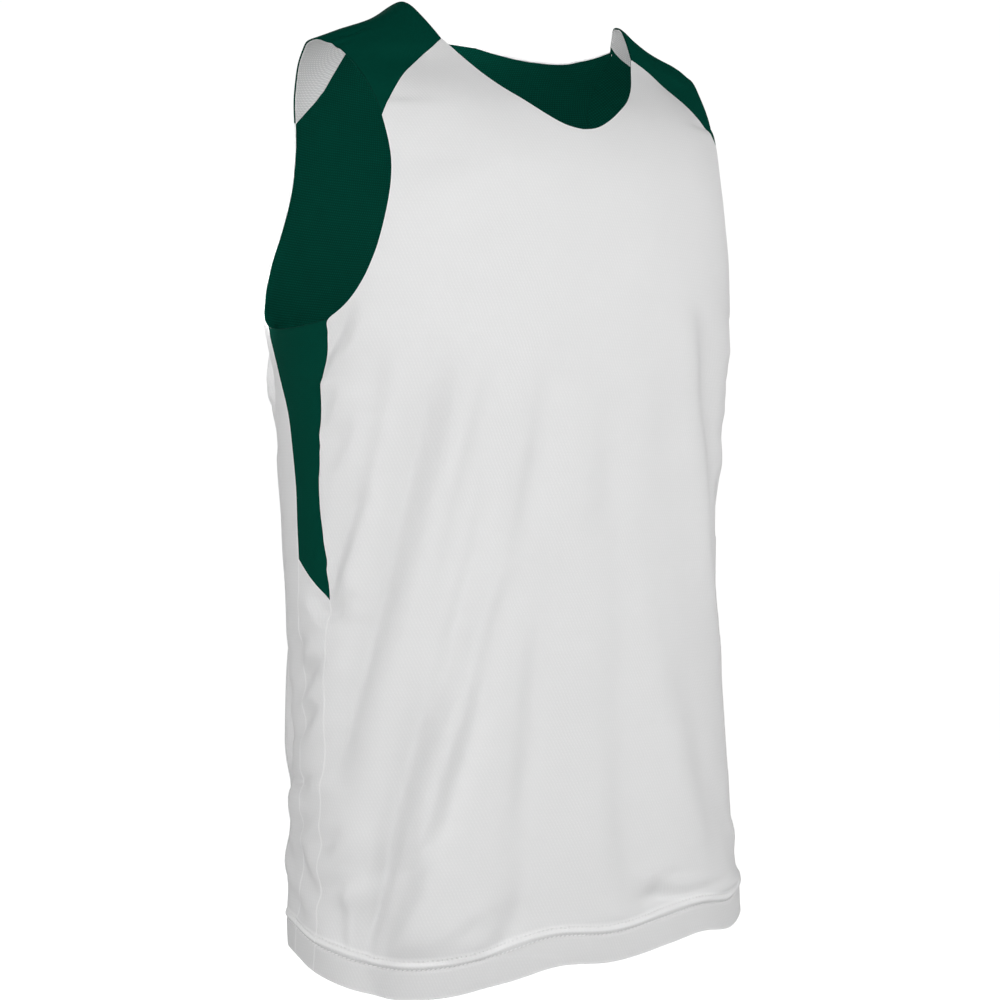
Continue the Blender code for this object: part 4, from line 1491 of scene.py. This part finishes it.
@dataclass(frozen=True)
class ThreadFinish:
    """Sewing thread: plain white, with a twist along it."""

    colour: Colour = (0.96, 0.96, 0.96)
    roughness: float = 0.5
    specular: float = 0.3
    hollow_shade: float = 0.86

    def material(self) -> bpy.types.Material:
        """The node material: a fine noise for the twisted fibres in colour and height."""
        made, graph, shader = new_material("white_thread", self.colour)
        place = graph.node("ShaderNodeTexCoord").outputs["Object"]
        twist = graph.node("ShaderNodeTexNoise", Vector=place, Scale=2600.0, Detail=1.0).outputs["Fac"]
        shade = graph.ramp(twist, 0.3, 0.7)
        colour = graph.mix(shade, opaque(self.colour, self.hollow_shade), opaque(self.colour))
        bump = graph.node("ShaderNodeBump", Height=twist, Strength=0.4, Distance=0.0001).outputs["Normal"]
        graph.put(shader, Base_Color=colour, Normal=bump, Roughness=self.roughness,
                  Specular_IOR_Level=self.specular)
        return made


# The third colour of each finish is painted rim light and shade at its edges and seams.
FINISHES = (
    KnitFinish(Slot.WHITE_KNIT, (0.80, 0.80, 0.80), (0.775, 0.775, 0.777), (0.95, 0.95, 0.95), 2.5 * MM,
               2.4 * MM, 0.42, 0.35, 0.24, 0.50, stitch_depth=0.00004, painted_rim_share=0.6, cloud_share=0.03,
               hem_marks=True),
    KnitFinish(Slot.GREEN_KNIT, (0.0003, 0.053, 0.035), (0.0003, 0.047, 0.031), (0.0002, 0.024, 0.016),
               1.6 * MM, 1.5 * MM, 0.5, 0.3, 0.26, 0.50, stitch_depth=0.00004, painted_rim_share=0.45,
               cloud_share=0.10, specular=0.02, sheen=0.02, sheen_tint=(0.0, 0.9, 0.6)),
    KnitFinish(Slot.GREEN_MESH, (0.0004, 0.062, 0.041), (0.0002, 0.036, 0.0235), (0.0002, 0.030, 0.020),
               2.2 * MM, 2.0 * MM, 0.5, 0.0, 0.36, 0.36, stitch_depth=0.00010, cloud_share=0.10,
               roughness=0.72, specular=0.02, sheen=0.01, sheen_tint=(0.0, 0.9, 0.6)),
    KnitFinish(Slot.WHITE_MESH, (0.82, 0.82, 0.82), (0.66, 0.66, 0.665), (0.80, 0.80, 0.80), 1.8 * MM,
               2.6 * MM, 0.5, 0.0, 0.36, 0.34, line_depth=0.00006, painted_rim_share=0.4, roughness=0.72,
               specular=0.12),
)

# Name, degrees from straight in front, height, distance, side in metres and power in watts.
ROOM_LIGHTS = (
    ("rear_right_light", -120.0, 0.2, 1.6, 1.2, 4.4),
    ("high_rear_right_light", -120.0, 1.2, 1.6, 1.2, 1.8),
    ("right_light", -50.0, 0.0, 1.4, 1.0, 10.5),
    ("high_front_light", -25.0, 2.0, 1.6, 1.2, 4.6),
    ("key_light", -32.0, 0.3, 1.6, 1.0, 1.1),
    ("front_light", 10.0, 0.4, 1.6, 1.0, 5.2),
    ("left_light", 35.0, -0.1, 1.4, 1.0, 4.9),
    ("far_left_light", 70.0, -0.1, 1.4, 1.0, 4.1),
    ("back_light", 180.0, 0.4, 1.8, 1.4, 7.0),
)
# Name, place, the point that it looks at, side and power.
INNER_LIGHTS = (
    ("armhole_panel", (-0.20, 0.01, -0.18), (-0.08, 0.13, -0.15), 0.08, 0.15),
    ("neck_panel", (-0.01, -0.03, -0.02), (0.02, 0.13, -0.10), 0.08, 0.083),
)


def linked(name: str, data: bpy.types.ID) -> bpy.types.Object:
    """A new object in the scene."""
    made = bpy.data.objects.new(name, data)
    bpy.context.scene.collection.objects.link(made)
    return made


def round_about(turn: float, distance: float, height: float) -> Place:
    """A place at a turn from straight in front, in radians, and a distance from the jersey's upright axis."""
    return (distance * math.sin(turn), -distance * math.cos(turn), height)


@dataclass(frozen=True)
class Studio:
    """White room: a pale floor, large soft lights all round, two small panels inside and the camera."""

    floor_height: float = -0.95
    floor_half: float = 14.0
    floor_colour: Colour = (0.82, 0.82, 0.82)
    floor_glow: float = 0.10
    middle: Place = (0.0, 0.0, -0.36)
    distance: float = 1.90
    azimuth: float = -32.0
    lens: float = 87.7
    sensor: float = 36.0
    shift: float = -0.008
    sky: float = 0.02
    sky_seen: float = 1.02

    def camera(self) -> None:
        """The camera, level, looking at the jersey from its front right."""
        data = bpy.data.cameras.new("camera")
        data.lens = self.lens
        data.sensor_width = self.sensor
        data.shift_x = self.shift
        data.clip_start = 0.05
        data.clip_end = 100.0
        camera = linked("camera", data)
        turn = math.radians(self.azimuth)
        camera.location = round_about(turn, self.distance, self.middle[2])
        camera.rotation_euler = (math.pi / 2, 0.0, turn)
        bpy.context.scene.camera = camera

    def floor(self) -> None:
        """The pale floor: a plane, slightly self-lit, as in a white studio."""
        half = self.floor_half
        corners = [(half * x, half * y, self.floor_height) for x, y in ((-1, -1), (1, -1), (1, 1), (-1, 1))]
        mesh = bpy.data.meshes.new("floor")
        mesh.from_pydata(corners, [], [(0, 1, 2, 3)])
        made, graph, shader = new_material("pale_floor", self.floor_colour)
        glow = graph.room_share(self.floor_glow, 1.0)
        graph.put(shader, Base_Color=opaque(self.floor_colour), Roughness=0.9, Specular_IOR_Level=0.0,
                  Emission_Color=(1.0, 1.0, 1.0, 1.0), Emission_Strength=glow)
        mesh.materials.append(made)
        floor = linked("floor", mesh)

    def world(self) -> None:
        """The sky: pure white where the camera sees it, dimmer as a light."""
        world = bpy.data.worlds.new("white_room")
        world.use_nodes = True
        bpy.context.scene.world = world
        graph = Graph(world.node_tree)
        strength = graph.room_share(self.sky, self.sky_seen)
        graph.put(world.node_tree.nodes["Background"], Color=(1.0, 1.0, 1.0, 1.0), Strength=strength)

    def light(self, name: str, place: Place, target: Place, size: float, power: float) -> bpy.types.Object:
        """A square area light.

        Args:
            name: name of the light.
            place: where it stands.
            target: the point that it looks at.
            size: its side, in metres.
            power: its power in watts.

        Returns:
            The light.
        """
        data = bpy.data.lights.new(name, "AREA")
        data.size = size
        data.energy = power
        lamp = linked(name, data)
        lamp.location = place
        way = Vector(target) - lamp.location
        lamp.rotation_euler = way.to_track_quat("-Z", "Y").to_euler()
        return lamp

    def build(self) -> None:
        """Everything in the room. The two small panels brighten the lining and aren't seen."""
        view = bpy.context.scene.view_settings
        view.view_transform = "Standard"
        view.look = "None"
        view.exposure = 0.0
        view.gamma = 1.0
        self.world()
        self.floor()
        for name, turn, height, distance, size, power in ROOM_LIGHTS:
            place = round_about(math.radians(turn), distance, height)
            self.light(name, place, self.middle, size, power)
        for name, place, target, size, power in INNER_LIGHTS:
            self.light(name, place, target, size, power).visible_camera = False
        self.camera()


@dataclass
class Jersey:
    """Both layers of every cut piece, with the hem's stitching."""

    cloth: Cloth
    outer: Layer
    lining: Layer
    lining_fineness: float = 0.72

    def dress(self, name: str, mesh: bpy.types.Mesh, finish: bpy.types.Material,
              slot: Slot) -> bpy.types.Object:
        """A piece with its finish, which rides with the part.

        Args:
            name: its name.
            mesh: its shape.
            finish: its material.
            slot: the part's material slot that it belongs to; not used.

        Returns:
            The piece.
        """
        mesh.materials.append(finish)
        piece = linked(name, mesh)
        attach(piece, "root")
        return piece

    def slot_for(self, name: str, layer: Layer) -> Slot:
        """The material slot of a piece: yokes and inserts are green outside and white inside, the rest not.

        Args:
            name: the cut piece's name.
            layer: its layer.

        Returns:
            The slot.
        """
        coloured = name.startswith(("yoke", "side_insert"))
        if layer.shows is Skin.OUTSIDE:
            return Slot.GREEN_KNIT if coloured else Slot.WHITE_KNIT
        return Slot.WHITE_MESH if coloured else Slot.GREEN_MESH

    def flat_size(self, cut: Cut) -> tuple[tuple[float, float], float]:
        """Size of the flat cut: its span, and the summed cells of its grid on the smooth form.

        A cell's area is half the length of the cross product of its diagonals.

        Args:
            cut: the piece.

        Returns:
            Width and length in metres, and area in square metres.
        """
        points = self.cloth.form.point(cut.angle, cut.course)
        diagonals = points[1:, 1:] - points[:-1, :-1], points[1:, :-1] - points[:-1, 1:]
        area = 0.5 * float(np.linalg.norm(np.cross(*diagonals), axis=-1).sum())
        width, length = (round(float(np.ptp(cut.flat[..., k])), 3) for k in (0, 1))
        return (width, length), round(area, 4)

    def hangs_from(self, name: str, prefix: str) -> list[str]:
        """What carries a piece: nothing for the yokes.

        Args:
            name: the cut piece's name.
            prefix: the layer's prefix.

        Returns:
            Names of the pieces that carry it.
        """
        carriers = {
            "yoke": (),
            "side_panel": (name.replace("panel", "insert"),),
            "back_shoulder": ("yoke_left",),
            "side_insert": ("front", "back"),
            "": ("yoke_right", "yoke_left"),
        }
        kind = next(start for start in carriers if name.startswith(start))
        return [f"{prefix}{carrier}_cloth" for carrier in carriers[kind]]

    def stitching(self, cut: Cut, thread: bpy.types.Material) -> bpy.types.Object:
        """The thread along the hem of a piece, between its two side seams.

        Args:
            cut: the piece.
            thread: the finish of the thread.

        Returns:
            The thread.
        """
        level = LOWER_LINE / HEM_PER_LEVEL
        first, last = sorted(float(np.interp(level, cut.course[k], cut.angle[k])) for k in (0, -1))
        name = f"{cut.name}_hem_thread"
        return self.dress(name, HemStitching(self.cloth).mesh(name, first, last), thread, Slot.WHITE_KNIT)

    def build(self, chart: Chart, materials: dict[Slot, bpy.types.Material],
              thread: bpy.types.Material) -> None:
        """Make every piece of both layers.

        Args:
            chart: flat coordinates of the cloth.
            materials: the finishes.
            thread: the finish of the stitching.
        """
        declared = []
        for layer, fineness in ((self.outer, 1.0), (self.lining, self.lining_fineness)):
            for cut in Pattern(chart, fineness).cuts(pieced=layer is self.lining):
                node = layer.prefix + cut.name
                name = node + "_cloth"
                slot = self.slot_for(cut.name, layer)
                piece = self.dress(name, layer.wall(cut, self.cloth, name), materials[slot], slot)
                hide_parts(node)
                sewn = layer is self.outer and cut.hemmed
                threads = [self.stitching(cut, thread)] if sewn else []
                declared.append((piece, cut, layer, threads))
                LOG.info("%s: %d faces", name, len(piece.data.polygons))
        for piece, cut, layer, threads in declared:
            flat, area = self.flat_size(cut)
            rests_on = self.hangs_from(cut.name, layer.prefix)
            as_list(threads)
            LOG.info("%s: cut %.3f x %.3f m, %.4f m2", piece.name, *flat, area)


def main() -> None:
    """Build the finishes, the jersey and the studio, and note the sizes."""
    logging.basicConfig(level=logging.INFO, format="%(name)s: %(message)s")
    form = BodyForm()
    cloth = Cloth(form, Relief(form), HemRelief())
    outer = Layer("", Skin.OUTSIDE, 0.0, 0.7 * MM, 0.0, 0.6 * MM, True)
    lining = Layer("lining_", Skin.INSIDE, 1.3 * MM, 0.6 * MM, 0.7 * MM, 0.3 * MM, False,
                   seam_gap=-0.1 * MM, seam_sink=0.25 * MM)
    groups = {"knit": make_knit_group(), "tone": make_tone_group(), "hem": make_hem_group()}
    materials = {finish.slot: finish.material(groups) for finish in FINISHES}
    Jersey(cloth, outer, lining).build(Chart(form), materials, ThreadFinish().material())
    Studio().build()


if __name__ == "__main__":
    main()
